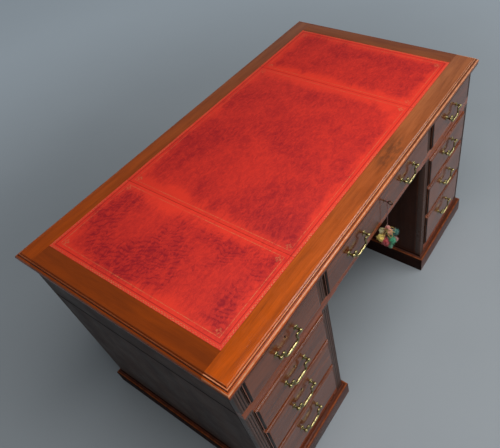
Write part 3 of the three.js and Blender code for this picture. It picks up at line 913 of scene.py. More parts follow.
def top_board(name, along, seed, lit_share, cuts):
    """One border board cut from the moulded slab."""
    low = Vector(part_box("top_front_board")[0])
    high = Vector(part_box("top_back_board")[1])
    profile = top_profile()[::-1]
    rings = [
        rectangle(low.x, high.x, low.y, high.y, inset, high.z + z) for inset, z, _ in profile
    ]
    bm = bmesh.new()
    loft(bm, rings, wear=[wear for _, _, wear in profile])
    for point, normal in cuts:
        cut_away(bm, point, normal)
    wood = border_wood(along, seed, lit_share)
    piece(name, bm, wood, "desk", [f"top_{name}"], 50)


class DESK_OT_top_boards(bpy.types.Operator):
    """Builds the four moulded border boards and the ground they are fixed to"""

    bl_idname = "desk.top_boards"
    bl_label = "Top boards"

    def execute(self, context):
        low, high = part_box("leather_left")[0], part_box("leather_right")[1]
        x, y, gap = Vector((1, 0, 0)), Vector((0, 1, 0)), 0.12 * MM
        ends = [(low, -y), (high, y)]
        # each board's lit share is painted light: the front board lightest, the left end board darkest
        top_board("front_board", "x", 1, 1.0, [(low - y * gap, y)])
        top_board("back_board", "x", 2, 0.6, [(high + y * gap, -y)])
        top_board("left_board", "y", 3, 0.3, [*ends, (low - x * gap, x)])
        top_board("right_board", "y", 4, 0.5, [*ends, (high + x * gap, -x)])
        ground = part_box("top_ground")
        plank("ground_board", *ground, pine_wood("x", 1), "pine", ["top_ground"], arris=0)
        return {"FINISHED"}


class DESK_OT_hide(bpy.types.Operator):
    """Lays the three tooled hide panels into the border"""

    bl_idname = "desk.hide"
    bl_label = "Hide panels"

    def execute(self, context):
        t = settings().top
        soft = 0.5 * MM
        for side in ("left", "centre", "right"):
            low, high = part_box(f"leather_{side}")
            levels = [(0, low.z), (0, high.z - soft)]
            levels += [(soft * 0.3, high.z - soft * 0.3), (soft, high.z)]
            bm = bmesh.new()
            loft(bm, [rectangle(low.x, high.x, low.y, high.y, inset, z) for inset, z in levels])
            insets = [t.line_inset if side == end else t.joint_inset for end in ("left", "right")]
            hide = tooled_hide(low.x, high.x, low.y, high.y, *insets)
            piece(f"hide_{side}", bm, hide, "desk", [f"leather_{side}"])
        return {"FINISHED"}


# ---- Carcass ------------------------------------------------------------------------------------


SIDE = 18 * MM  # thickness of the sides and partitions
GUIDE, GUIDE_RISE = 11 * MM, 20 * MM  # how far a drawer's guide stands in, and its height
LEDGE, LEDGE_DEPTH = 22 * MM, 14 * MM  # how far a drawer's ledge stands in, and its thickness
SHADOW = 2 * MM  # open line between the upper part and the pedestals


def scoop_levels(z0, z1, reed0, reed1):
    """Heights up a reeded stile, each with how deep the reeds are cut there."""
    scoop = 5 * MM  # how long a reed takes to reach its full depth
    steps = [(scoop * k / 6, math.sin(math.pi / 2 * k / 6)) for k in range(7)]
    rising = [(reed0 + rise, depth) for rise, depth in steps]
    falling = [(reed1 - rise, depth) for rise, depth in reversed(steps)]
    return [(z0, 0), *rising, *falling, (z1, 0)]


def reeded_stile(name, centre, z0, z1, reed0, reed1, replaces, seed):
    """A stile whose reeds die out in small scoops at both ends."""
    c = settings().carcass
    low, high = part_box("left_pedestal_face_frame")
    half, margin, nip = c.stile / 2, c.reed_margin, 0.4 * MM
    pitch = (c.stile - 2 * margin) / c.reed_count
    # x, depth and wear, from the corner in to the first reed
    edge = [(half, nip, 0.7), (half - nip, 0, 0.7), (half - margin + 0.1 * MM, 0, 0.6)]
    across = [(-x, y, wear) for x, y, wear in edge]
    steps = 12
    for reed in range(c.reed_count):
        middle = -half + margin + (reed + 0.5) * pitch
        for k in range(steps + (reed == c.reed_count - 1)):
            t = math.pi * (1 - k / steps)
            rise = math.sin(t)
            x = middle + pitch / 2 * math.cos(t)
            # the hollows between the reeds are marked low, which paints shade in them
            across.append((x, c.reed_depth * (1 - rise), 0.75 * rise))
    across += reversed(edge)
    rings, wear = [], []
    for z, depth in scoop_levels(z0, z1, reed0, reed1):
        ring = [(centre + x, low.y + y * depth, z) for x, y, _ in across]
        rings.append([*ring, (centre + half, high.y, z), (centre - half, high.y, z)])
        wear.append([0.5 + (w - 0.5) * depth for _, _, w in across] + [0.5, 0.5])
    bm = bmesh.new()
    loft(bm, rings, wear=wear)
    piece(name, bm, stile_wood(seed), "desk", replaces, 60)


def rail(name, x0, x1, z0, z1, seed):
    """A plain rail of a face frame."""
    low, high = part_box("left_pedestal_face_frame")
    ends = (x0, low.y, z0), (x1, high.y, z1)
    arris = settings().carcass.arris
    plank(name, *ends, rail_wood(seed), "carcass_wood", arris=arris, wear=0.8)


def wide_opening():
    """The wide drawer's opening in the face frame: half its width, its floor and its ceiling."""
    low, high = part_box("frieze_centre_drawer_front")
    return high.x + FIT, low.z - FIT, high.z + FIT


def waist_rail():
    """The plain band between the pedestals and the upper drawers, arched over the kneehole."""
    c = settings().carcass
    low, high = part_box("upper_face_frame")
    inner, floor, _ = wide_opening()
    half, drop = inner - c.shoulder, c.shoulder_drop
    curve = [(half - drop + u, low.z + v) for u, v in arc(0, 0, drop, drop, 0, 90, 8)]
    arch = [(half, low.z), *curve, *[(-u, v) for u, v in reversed(curve)], (-half, low.z)]
    outline = [(low.x, low.z), (low.x, floor), (high.x, floor), (high.x, low.z), *arch]
    bm = bmesh.new()
    extruded(bm, outline, lambda p, end: (p[0], (low.y, high.y)[end], p[1]))
    edges = [e for e in bm.edges if all(abs(v.co.y - low.y) < 1e-6 for v in e.verts)]
    bmesh.ops.bevel(bm, geom=edges, offset=c.arris, segments=2, affect="EDGES", profile=0.5)
    layer = worn(bm)
    for vert in bm.verts:
        near = min(abs(vert.co.z - low.z), abs(vert.co.z - floor))
        vert[layer] = 0.8 if near < 1.2 * MM and vert.co.y < low.y + 2 * MM else 0.5
    piece("waist_rail", bm, rail_wood(1), "desk", ["upper_face_frame"])


class DESK_OT_face_frames(bpy.types.Operator):
    """Builds the reeded stiles and the rails between the drawers"""

    bl_idname = "desk.face_frames"
    bl_label = "Face frames"

    def execute(self, context):
        waist_rail()
        for sign, hand in ((-1, "left"), (1, "right")):
            self.upper(hand, sign)
            self.pedestal(hand, sign)
        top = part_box("upper_face_frame")[1].z
        inner, _, ceiling = wide_opening()
        rail("upper_centre_rail", -inner, inner, ceiling, top, 9)
        self.strike(top)
        return {"FINISHED"}

    def upper(self, hand, sign):
        """The stiles and the rail round one side drawer."""
        c = settings().carcass
        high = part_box("upper_face_frame")[1]
        inner, floor, ceiling = wide_opening()
        places = ("outer", high.x - c.stile / 2, sign + 3), ("inner", inner + c.stile / 2, sign)
        for place, centre, seed in places:
            foot, reed0, reed1 = floor + 0.1 * MM, floor + 0.3 * MM, high.z - c.reed_stop
            name = f"upper_{hand}_{place}_stile"
            reeded_stile(name, sign * centre, foot, high.z, reed0, reed1, (), seed)
        ends = sorted((sign * (inner + c.stile), sign * (high.x - c.stile)))
        rail(f"upper_{hand}_rail", *ends, ceiling, high.z, 5 + sign)

    def strike(self, top):
        """The mortise that the lock's bolt shoots up into."""
        low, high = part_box("lock_bolt")
        room, beyond = 0.5 * MM, 1 * MM
        ends = (low.x - room, low.y - room, high.z), (high.x + room, high.y + room, top + beyond)
        bm = bmesh.new()
        board(bm, *ends, 0)
        carve(bpy.data.objects["upper_centre_rail"], bm)

    def pedestal(self, hand, sign):
        """One pedestal's stiles and rails."""
        c = settings().carcass
        node = f"{hand}_pedestal_face_frame"
        low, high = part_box(node)
        reeds = low.z + c.reed_stop, high.z - c.reed_stop
        for place, centre, replaces, seed in (
            ("left", low.x + c.stile / 2, [node], sign * 7 + 1),
            ("right", high.x - c.stile / 2, (), sign * 7),
        ):
            name = f"{hand}_pedestal_{place}_stile"
            reeded_stile(name, centre, low.z, high.z, *reeds, replaces, seed)
        levels = [low.z]
        for level in LEVELS:
            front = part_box(f"{hand}_{level}_drawer_front")
            levels += [front[0].z - FIT, front[1].z + FIT]
        levels.append(high.z)
        for index, (z0, z1) in enumerate(zip(levels[::2], levels[1::2])):
            ends = low.x + c.stile, high.x - c.stile
            rail(f"{hand}_rail_{index}", *ends, z0, z1, index + 11 + sign)


def carve(target, bm):
    """Cuts a mesh out of a finished piece."""
    mesh = bpy.data.meshes.new("cutter")
    bmesh.ops.recalc_face_normals(bm, faces=bm.faces)
    bm.to_mesh(mesh)
    bm.free()
    cutter = linked("cutter", mesh)
    cutting = target.modifiers.new("cut", "BOOLEAN")
    cutting.object = cutter
    cutting.operation = "DIFFERENCE"
    cutting.solver = "EXACT"
    bpy.context.view_layer.update()
    bpy.context.view_layer.objects.active = target
    bpy.ops.object.modifier_apply(modifier="cut")
    bpy.data.objects.remove(cutter)


def darken(bm, height):
    """Marks a board's edge at a joint as hollow, so that its wood darkens there: a painted shadow line.
    """
    layer = worn(bm)
    for vert in bm.verts:
        if abs(vert.co.z - height) < 4 * MM:
            vert[layer] = 0.0


class DESK_OT_sides(bpy.types.Operator):
    """Builds the sides, backs, partitions and runners"""

    bl_idname = "desk.sides"
    bl_label = "Sides and backs"

    def execute(self, context):
        for sign, hand in ((-1, "left"), (1, "right")):
            self.side(hand, "outer", sign)
            self.side(hand, "inner", -sign)
            self.panel(f"{hand}_pedestal_back", carcass_wood("z", 20 + sign), "carcass_wood")
            self.panel(f"{hand}_pedestal_bottom", pine_wood("y", 4 + sign), "pine")
            self.upper_side(hand, sign)
            self.partition(hand, sign)
        self.panel("upper_back", carcass_wood("x", 30), "carcass_wood")
        self.panel("upper_base", pine_wood("x", 7), "pine", "dust_board")
        return {"FINISHED"}

    def panel(self, node, wood, slot, name=None):
        """A plain board in the place of a node."""
        arris = settings().carcass.arris
        plank(name or f"{node}_board", *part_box(node), wood, slot, [node], arris=arris)

    def side(self, hand, place, outward):
        """A pedestal's side board with its runners and guides."""
        name = f"{hand}_pedestal_{place}_side"
        low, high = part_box(name)
        outer = high.x if outward > 0 else low.x
        wall = outer - outward * SIDE
        x0, x1 = sorted((outer, wall))
        bm = bmesh.new()
        board(bm, (x0, low.y, low.z), (x1, high.y, high.z), settings().carcass.arris, 0.75)
        if place == "outer":
            darken(bm, high.z)
        # painted shade: the kneehole's inner sides take the darkened wood
        wood = carcass_wood("z", 40 + outward) if place == "outer" else kneehole_shade_wood("z", 44 + outward)
        piece(f"{name}_board", bm, wood, "desk", [name])
        bm = bmesh.new()
        guide = sorted((wall, wall - outward * GUIDE))
        ledge = sorted((wall, wall - outward * LEDGE))
        for level in LEVELS:
            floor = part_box(f"{hand}_{level}_drawer_front")[0].z - FIT
            top = floor - SOFT
            board(bm, (guide[0], low.y, floor), (guide[1], high.y, floor + GUIDE_RISE), SOFT)
            board(bm, (ledge[0], low.y, top - LEDGE_DEPTH), (ledge[1], high.y, top), SOFT)
        piece(f"{hand}_{place}_runners", bm, pine_wood("y", 10 + outward), "desk")

    def upper_side(self, hand, sign):
        """The side of the upper part and the guide along its foot."""
        name = f"upper_{hand}_side"
        low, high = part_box(name)
        outer = high.x if sign > 0 else low.x
        inner = outer - sign * SIDE
        x0, x1 = sorted((outer, inner))
        foot = low.z + SHADOW
        bm = bmesh.new()
        board(bm, (x0, low.y, foot), (x1, high.y, high.z), settings().carcass.arris, 0.55)
        darken(bm, low.z)
        piece(f"{name}_board", bm, carcass_wood("y", 50 + sign), "desk", [name])
        x0, x1 = sorted((inner, inner - sign * GUIDE))
        floor = wide_opening()[1]
        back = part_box("upper_back")[0].y - 0.5 * MM
        ends = (x0, low.y, floor), (x1, back, floor + GUIDE_RISE)
        plank(f"upper_{hand}_guide", *ends, pine_wood("y", 15 + sign), "pine")

    def partition(self, hand, sign):
        """The upright between the wide drawer and a side drawer, on its foot."""
        name = f"upper_{hand}_partition"
        low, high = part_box(name)
        middle = (low.x + high.x) / 2
        left, right, foot = middle - SIDE / 2, middle + SIDE / 2, low.z + GUIDE_RISE
        bm = bmesh.new()
        for x0, x1, top in ((left, right, high.z), (low.x, left, foot), (right, high.x, foot)):
            board(bm, (x0, low.y, low.z), (x1, high.y, top), SOFT)
        piece(f"{name}_board", bm, pine_wood("y", 20 + sign), "desk", [name])


class DESK_OT_plinths(bpy.types.Operator):
    """Builds the two moulded plinths"""

    bl_idname = "desk.plinths"
    bl_label = "Plinths"

    def execute(self, context):
        for seed, hand in enumerate(("left", "right")):
            self.plinth(f"{hand}_pedestal_plinth", f"{hand}_plinth", seed + 1)
        return {"FINISHED"}

    def plinth(self, node, name, seed):
        """A ring of skirting boards with a cove above a round nosing."""
        c = settings().carcass
        low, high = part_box(node)
        nosing, cove, top = c.plinth_nosing, c.plinth_cove, high.z
        reach, inside = 15 * MM, 39 * MM  # in to the carcass, and to the boards' inner face
        profile = [(inside, 0, 0.5), (inside, top, 0.5), (reach, top, 0.5)]
        # partly wear and partly a painted highlight: the cove and the nosing's upper part are marked
        # rubbed
        for u, v in arc(nosing, top, reach - nosing, cove, -4, -86, 6):
            profile.append((u, v, 0.6))
        for k, (u, v) in enumerate(arc(nosing, top - cove - nosing, nosing, nosing, 90, 180, 8)):
            profile.append((u, v, 0.95 if k < 6 else 0.55))
        profile += [(0, 2 * MM, 0.55), (0.6 * MM, 0, 0.9)]
        profile.append(profile[0])
        rings = [rectangle(low.x, high.x, low.y, high.y, inset, z) for inset, z, _ in profile]
        bm = bmesh.new()
        loft(bm, rings, caps=False, wear=[wear for _, _, wear in profile])
        bmesh.ops.remove_doubles(bm, verts=bm.verts, dist=1e-6)
        piece(name, bm, plinth_wood(seed), "desk", [node], 50)


# ---- Drawers ------------------------------------------------------------------------------------

DRAWERS = [f"{hand}_{level}" for hand in ("left", "right") for level in LEVELS]
DRAWERS += ["frieze_left", "frieze_right", "frieze_centre"]


PROUD = 7 * MM  # how far a front's face stands before the face frame
KEYHOLE_DEPTH = 9 * MM


def front_box(name):
    """The front's board without its handle posts: left, right, back, face, foot and top."""
    low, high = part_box(f"{name}_drawer_front")
    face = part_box("left_pedestal_face_frame")[0].y - PROUD
    return low.x, high.x, high.y, face, low.z, high.z


def keyhole_outline(x, z):
    """A keyhole's outline round a centre."""
    d = settings().drawers
    half = d.keyhole_slot / 2
    start = math.degrees(math.asin(half / d.keyhole))
    points = arc(x, z, d.keyhole, d.keyhole, -90 + start, 270 - start, 20)
    return [*points, (x - half, z - d.keyhole_drop), (x + half, z - d.keyhole_drop)]


def keyhole_place(name):
    """Where a drawer's keyhole is, in x and z."""
    x0, x1, _, _, _, z1 = front_box(name)
    from_top = (38 if name.startswith("frieze") else 28) * MM
    return (x0 + x1) / 2, z1 - from_top


def front_profile(depth):
    """A front's moulded margin from its back to its face, as (inset, depth, wear)."""
    d = settings().drawers
    slope = d.margin - d.lip
    made = [(0, depth, 0.5), (0, d.raised + 0.6 * MM, 0.75)]
    made += [(0.5 * MM, d.raised, 0.9), (d.lip - 0.3 * MM, d.raised, 0.6)]
    for k in range(9):
        t = math.pi / 2 * k / 8
        sink = 1 - math.sin(t)
        made.append((d.lip + slope * (1 - math.cos(t)), d.raised * sink, 0.65 - 0.35 * sink))
    made.append((d.margin + 1.2 * MM, 0, 0.5))
    return made


def drawer_front(name, seed):
    """A front with a moulded margin and its keyhole."""
    x0, x1, back, face, z0, z1 = front_box(name)
    profile = front_profile(back - face)
    bm = bmesh.new()
    layer = worn(bm)
    rings = [
        [(x, face + depth, z) for x, z, _ in rectangle(x0, x1, z0, z1, inset, 0)]
        for inset, depth, _ in profile
    ]
    made = loft(bm, rings, caps=False, wear=[wear for _, _, wear in profile])
    bm.faces.new(made[0])
    outline = keyhole_outline(*keyhole_place(name))
    hole = [bm.verts.new((x, face, z)) for x, z in outline]
    deep = [bm.verts.new((x, face + KEYHOLE_DEPTH, z)) for x, z in outline]
    for vert in hole + deep:
        vert[layer] = 0.5
    sides = list(zip(hole, hole[1:] + hole[:1], deep[1:] + deep[:1], deep))
    rim = [bm.edges.new(side[:2]) for side in sides]
    border = [bm.edges.get((made[-1][k], made[-1][(k + 1) % 4])) for k in range(4)]
    bmesh.ops.triangle_fill(bm, use_beauty=True, use_dissolve=False, edges=rim + border)
    dark = [bm.faces.new(side) for side in sides]
    if name != "frieze_centre":
        dark.append(bm.faces.new(deep))
    bm.normal_update()
    for skin in bm.faces:
        if skin in dark:
            skin.material_index = 1
        # painted shade: the margins that face sideways take the darkened margin wood
        elif abs(skin.normal.x) > 0.2:
            skin.material_index = 2
    node = f"{name}_drawer_front"
    front = piece(f"{name}_front", bm, front_wood(seed), f"{name}_drawer", [node], 35)
    front.data.materials.append(void_black())
    front.data.materials.append(shaded_margin_wood(seed))


class DESK_OT_drawer_fronts(bpy.types.Operator):
    """Builds the nine moulded drawer fronts"""

    bl_idname = "desk.drawer_fronts"
    bl_label = "Drawer fronts"

    def execute(self, context):
        for seed, name in enumerate(DRAWERS):
            drawer_front(name, seed % 5)
        low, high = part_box("lock_case")
        gap = 0.25 * MM
        foot = low.x - gap, low.y - gap, low.z - gap
        bm = bmesh.new()
        board(bm, foot, (high.x + gap, high.y + 1 * MM, high.z + 1 * MM), 0)
        carve(bpy.data.objects["frieze_centre_front"], bm)
        return {"FINISHED"}


class DESK_OT_drawer_boxes(bpy.types.Operator):
    """Builds the dovetailed boxes behind the fronts"""

    bl_idname = "desk.drawer_boxes"
    bl_label = "Drawer boxes"

    def execute(self, context):
        for seed, name in enumerate(DRAWERS):
            self.box(name, f"{name}_drawer", seed % 3)
        return {"FINISHED"}

    def box(self, name, body, seed):
        """A drawer's sides, back and bottom."""
        d = settings().drawers
        low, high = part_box(f"{body}_box")
        bm = bmesh.new()
        for x in (low.x, high.x - d.side):
            board(bm, (x, low.y, low.z), (x + d.side, high.y, high.z), SOFT)
        self.tails(bm, name, low, high)
        piece(f"{name}_sides", bm, pine_wood("y", seed), body, [f"{body}_box"])
        x0, x1 = low.x + d.side, high.x - d.side
        back, foot = high.y - d.back, low.z + d.groove
        ends = (x0, back, low.z), (x1, high.y, high.z)
        plank(f"{name}_back", *ends, pine_wood("x", seed), "pine", body=body, arris=0.4 * MM)
        ends = (x0, low.y, foot), (x1, back, foot + d.bottom)
        plank(f"{name}_bottom", *ends, pine_wood("x", 5 + seed), "pine", body=body, arris=0.2 * MM)

    def tails(self, bm, name, low, high):
        """The sides' dovetails, let into the ends of the front."""
        x0, x1, back, _, _, _ = front_box(name)
        plain, reach = 4 * MM, 13 * MM  # left above and below the tails, and the tails' length
        count = max(3, round((high.z - low.z) / (34 * MM)))
        pitch = (high.z - low.z - 2 * plain) / count
        wide, narrow = pitch * 0.4, pitch * 0.29
        for k in range(count):
            middle = low.z + plain + (k + 0.5) * pitch
            outline = [(back - reach, middle - wide), (back - reach, middle + wide)]
            outline += [(back + 1 * MM, middle + narrow), (back + 1 * MM, middle - narrow)]
            for end_face, sign in ((x0, -1), (x1, 1)):
                ends = (end_face - sign * 1 * MM, end_face + sign * 0.15 * MM)
                extruded(bm, outline, lambda p, end, ends=ends: (ends[end], p[0], p[1]))


# ---- Handles ------------------------------------------------------------------------------------

HANDLES = [(name, "bail") for name in DRAWERS[:-1]]
HANDLES += [("frieze_centre", "bail_left"), ("frieze_centre", "bail_right")]


def joint_place(name):
    """A joint's point, in metres."""
    return Vector(next(j for j in frame["joints"] if j["name"] == name)["pos_m"])


POST_SPACING = 81 * MM
# a rose's section: share of its radius, distance from the face in mm, and wear
ROSE = (
    (0.55, -0.4, 0.2),
    (1, -0.4, 0.3),
    (1, 0.9, 0.7),
    (0.93, 1.5, 0.9),
    (0.84, 1.35, 0.15),
    (0.78, 1.6, 0.3),
    (0.68, 2.4, 0.8),
    (0.52, 2.9, 0.6),
)
# a stem's section, in the same way
STEM = (
    (1.15, 3.1, 0.2),
    (0.95, 4.2, 0.4),
    (0.85, 5.4, 0.5),
    (0.95, 6.6, 0.6),
    (1.3, 7.2, 0.85),
    (1.3, 7.9, 0.85),
    (0.9, 8.5, 0.2),
)


class DESK_OT_handle_posts(bpy.types.Operator):
    """Turns the posts and roses that carry the bails"""

    bl_idname = "desk.handle_posts"
    bl_label = "Handle posts"

    def execute(self, context):
        for name, suffix in HANDLES:
            self.posts(name, suffix)
        return {"FINISHED"}

    def posts(self, name, suffix):
        """A handle's two posts, each a ball on a stem that stands on a round rose."""
        h = settings().handles
        centre = joint_place(f"{name}_{suffix}_swing")
        face = front_box(name)[3]
        reach = face - centre.y
        profile = [(h.rose * share, height * MM, wear) for share, height, wear in ROSE]
        profile += [(h.stem * share, height * MM, wear) for share, height, wear in STEM]
        for k in range(11):
            t = math.radians(-58 + 144 * k / 10)
            # the ball's outer half is marked rubbed: partly wear, partly a painted highlight
            wear = 0.6 + 0.35 * max(0.0, math.sin(t))
            profile.append((h.ball * math.cos(t), reach + h.ball * math.sin(t), wear))
        profile.append((h.ball * 0.1, reach + h.ball, 0.9))
        bm = bmesh.new()
        for end in (-1, 1):
            turned(bm, profile, (centre.x + end * POST_SPACING / 2, face, centre.z), sides=28)
        label = suffix.replace("bail", "posts")
        piece(f"{name}_{label}", bm, cast_brass(), f"{name}_drawer", smooth=50)


class DESK_OT_bails(bpy.types.Operator):
    """Casts the swan-neck bails"""

    bl_idname = "desk.bails"
    bl_label = "Bails"

    def execute(self, context):
        for name, suffix in HANDLES:
            self.bail(f"{name}_{suffix}", joint_place(f"{name}_{suffix}_swing"))
        return {"FINISHED"}

    def bail(self, node, centre):
        """A bail with its two pins, hanging from the line between its posts."""
        h = settings().handles
        pin = POST_SPACING / 2 - h.ball - 0.4 * MM
        points = spline([(x, 0, z) for x, z in self.route(pin)], 8)
        made = [self.section(point) for point in points]
        bm = bmesh.new()
        radii, wear = [radius for radius, _ in made], [value for _, value in made]
        tube(bm, [centre + p for p in points], radii, 14, wear)
        for end in (-1, 1):
            starts = (pin - 0.5 * MM, pin + 5 * MM)
            tube(bm, [centre + Vector((end * x, 0, 0)) for x in starts], [1.5 * MM] * 2)
        piece(f"{node}_cast", bm, cast_brass(), node, [node], 50)

    def route(self, pin):
        """The swan-neck line from one pin to the other, in x and z."""
        h = settings().handles
        half, drop = h.half_width, h.drop
        throat = half - 2.5 * MM
        side = [
            (pin, 0),
            (pin - 1.6 * MM, 0.1 * MM),
            ((pin + throat) / 2, 2.3 * MM),
            (throat, 0.7 * MM),
            (throat - 0.4 * MM, -drop * 0.33),
            (half, -drop * 0.62),
            (throat - 2.5 * MM, -drop * 0.93),
            (half * 0.5, -drop),
            (half * 0.25, -drop),
        ]
        return [*side, (0, -drop), *[(-x, z) for x, z in reversed(side)]]

    def section(self, point):
        """A bail's radius and wear at a point of its line: necks, grip and the grip's beads."""
        h = settings().handles
        grip = h.half_width * 0.72
        low = point.z < -h.drop * 0.85
        swell = max(0.0, 1 - (abs(point.x) / grip) ** 8) if low else 0.0
        radius = h.neck + (h.grip - h.neck) * swell
        bead = 0.0
        for spot in (0.0, 0.92):
            gap = abs(abs(point.x) - spot * grip) / (1.6 * MM)
            bead = max(bead, max(0.0, 1 - gap * gap) ** 0.5 if low else 0.0)
        if point.z > -h.drop * 0.1 and abs(point.x) > h.half_width - 1.5 * MM:
            radius = h.neck * 1.12
        if 0.05 <= bead <= 0.6:
            return radius + bead * 0.7 * MM, 0.1
        # the grip is marked rubbed: partly wear, partly a painted highlight
        return radius + bead * 0.7 * MM, 0.92 if low and bead < 0.1 else 0.62


# ---- Lock, key and fob --------------------------------------------------------------------------


# the key's collar: share of the shank's radius, distance along it in mm, and wear
KEY_COLLAR = ((0.8, 0, 0.3), (1.2, 0.8, 0.9), (1.2, 1.6, 0.9), (0.95, 2.2, 0.2), (1, 3.0, 0.6))


class DESK_OT_lock_and_key(bpy.types.Operator):
    """Finishes the lock and files the key"""

    bl_idname = "desk.lock_and_key"
    bl_label = "Lock and key"

    def execute(self, context):
        for node in ("lock_case", "lock_bolt"):
            made = frame["nodes"][node]
            made.data.materials.clear()
            made.data.materials.append(dull_steel())
        self.key()
        return {"FINISHED"}

    def key(self):
        """A key with a ring bow, a collared shank and a bit."""
        low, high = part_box("key")
        axis = joint_place("key_turn")
        wire, shank = 1.75 * MM, 2 * MM
        radius = (high.z - axis.z) - wire
        middle = low.y + wire + radius
        bow = Vector((axis.x, middle, axis.z))
        bm = bmesh.new()
        rings = []
        for t in circle(32):
            out = Vector((0, math.cos(t), math.sin(t)))
            spokes = [out * math.cos(u) + Vector((1, 0, 0)) * math.sin(u) for u in circle(12)]
            rings.append([bow + out * radius + spoke * wire for spoke in spokes])
        loft(bm, [*rings, rings[0]], caps=False, wear=[0.7] * 33)
        bmesh.ops.remove_doubles(bm, verts=bm.verts, dist=1e-7)
        start = middle + radius + 0.6 * MM
        profile = [(shank * share, z * MM, wear) for share, z, wear in KEY_COLLAR]
        profile.append((shank, high.y - start, 0.6))
        turned(bm, profile, (axis.x, start, axis.z), (0, 1, 0), 18)
        half = 1 * MM  # half the bit's thickness
        foot = axis.x - half, high.y - 4 * MM, axis.z - 6.5 * MM
        board(bm, foot, (axis.x + half, high.y, axis.z), 0.2 * MM)
        piece("key_filed", bm, old_bronze(), "key", ["key"], 50)


CORD = 2 * MM  # the cord's diameter
LOOP = 3.4 * MM  # radius of its turn round the key's shank
GOLDEN_ANGLE = 2.399963  # in radians, which spreads points evenly over a ball
BRAID_LOOP = ((13, 5, 2), (23, 3, -9), (21, -4, -14), (9, -5, -4))  # out, sideways and up, in mm
# each puff's name, colour, deeper colour, place from the fob's middle and radius, in mm
PUFFS = (
    ("pink", "f09488", "a84440", (9, 4, 20), 9),
    ("cream", "f4ecc0", "8c8a44", (-4, 19, 16), 8),
    ("peach", "f4b48e", "8a4030", (2, -6, 17), 10),
    ("teal", "167868", "062e2a", (17, -17, 7), 11),
    ("gold", "ffee84", "c8901c", (-21, 12, 4), 12),
    ("red", "c42a34", "5c1018", (-21, -5, -6), 13),
    ("green", "149a66", "05382a", (-9, -19, -4), 13),
    ("blush", "c88078", "6a2c2c", (6, -24, -12), 8),
    ("tassel", "6ab088", "1c5c40", (-14, -16, -26), 8),
    ("moss", "1c5c3c", "0a3020", (14, 2, -8), 15),
    ("wine", "74141e", "340a0e", (-3, 13, -12), 15),
    ("ochre", "a8682c", "54300f", (12, 14, -18), 12),
)


def cord_silk():
    """The red silk of the cord and its loop."""
    return silk("cord", "8a2a24", "45120f")


def cord_points():
    """The cord from the loop round the key's shank down to the fob."""
    swing = joint_place("fob_swing")
    top, foot = swing.z - LOOP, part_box("fob_cord")[0].z
    return [Vector((swing.x, swing.y, top + (foot - top) * k / 15)) for k in range(16)]


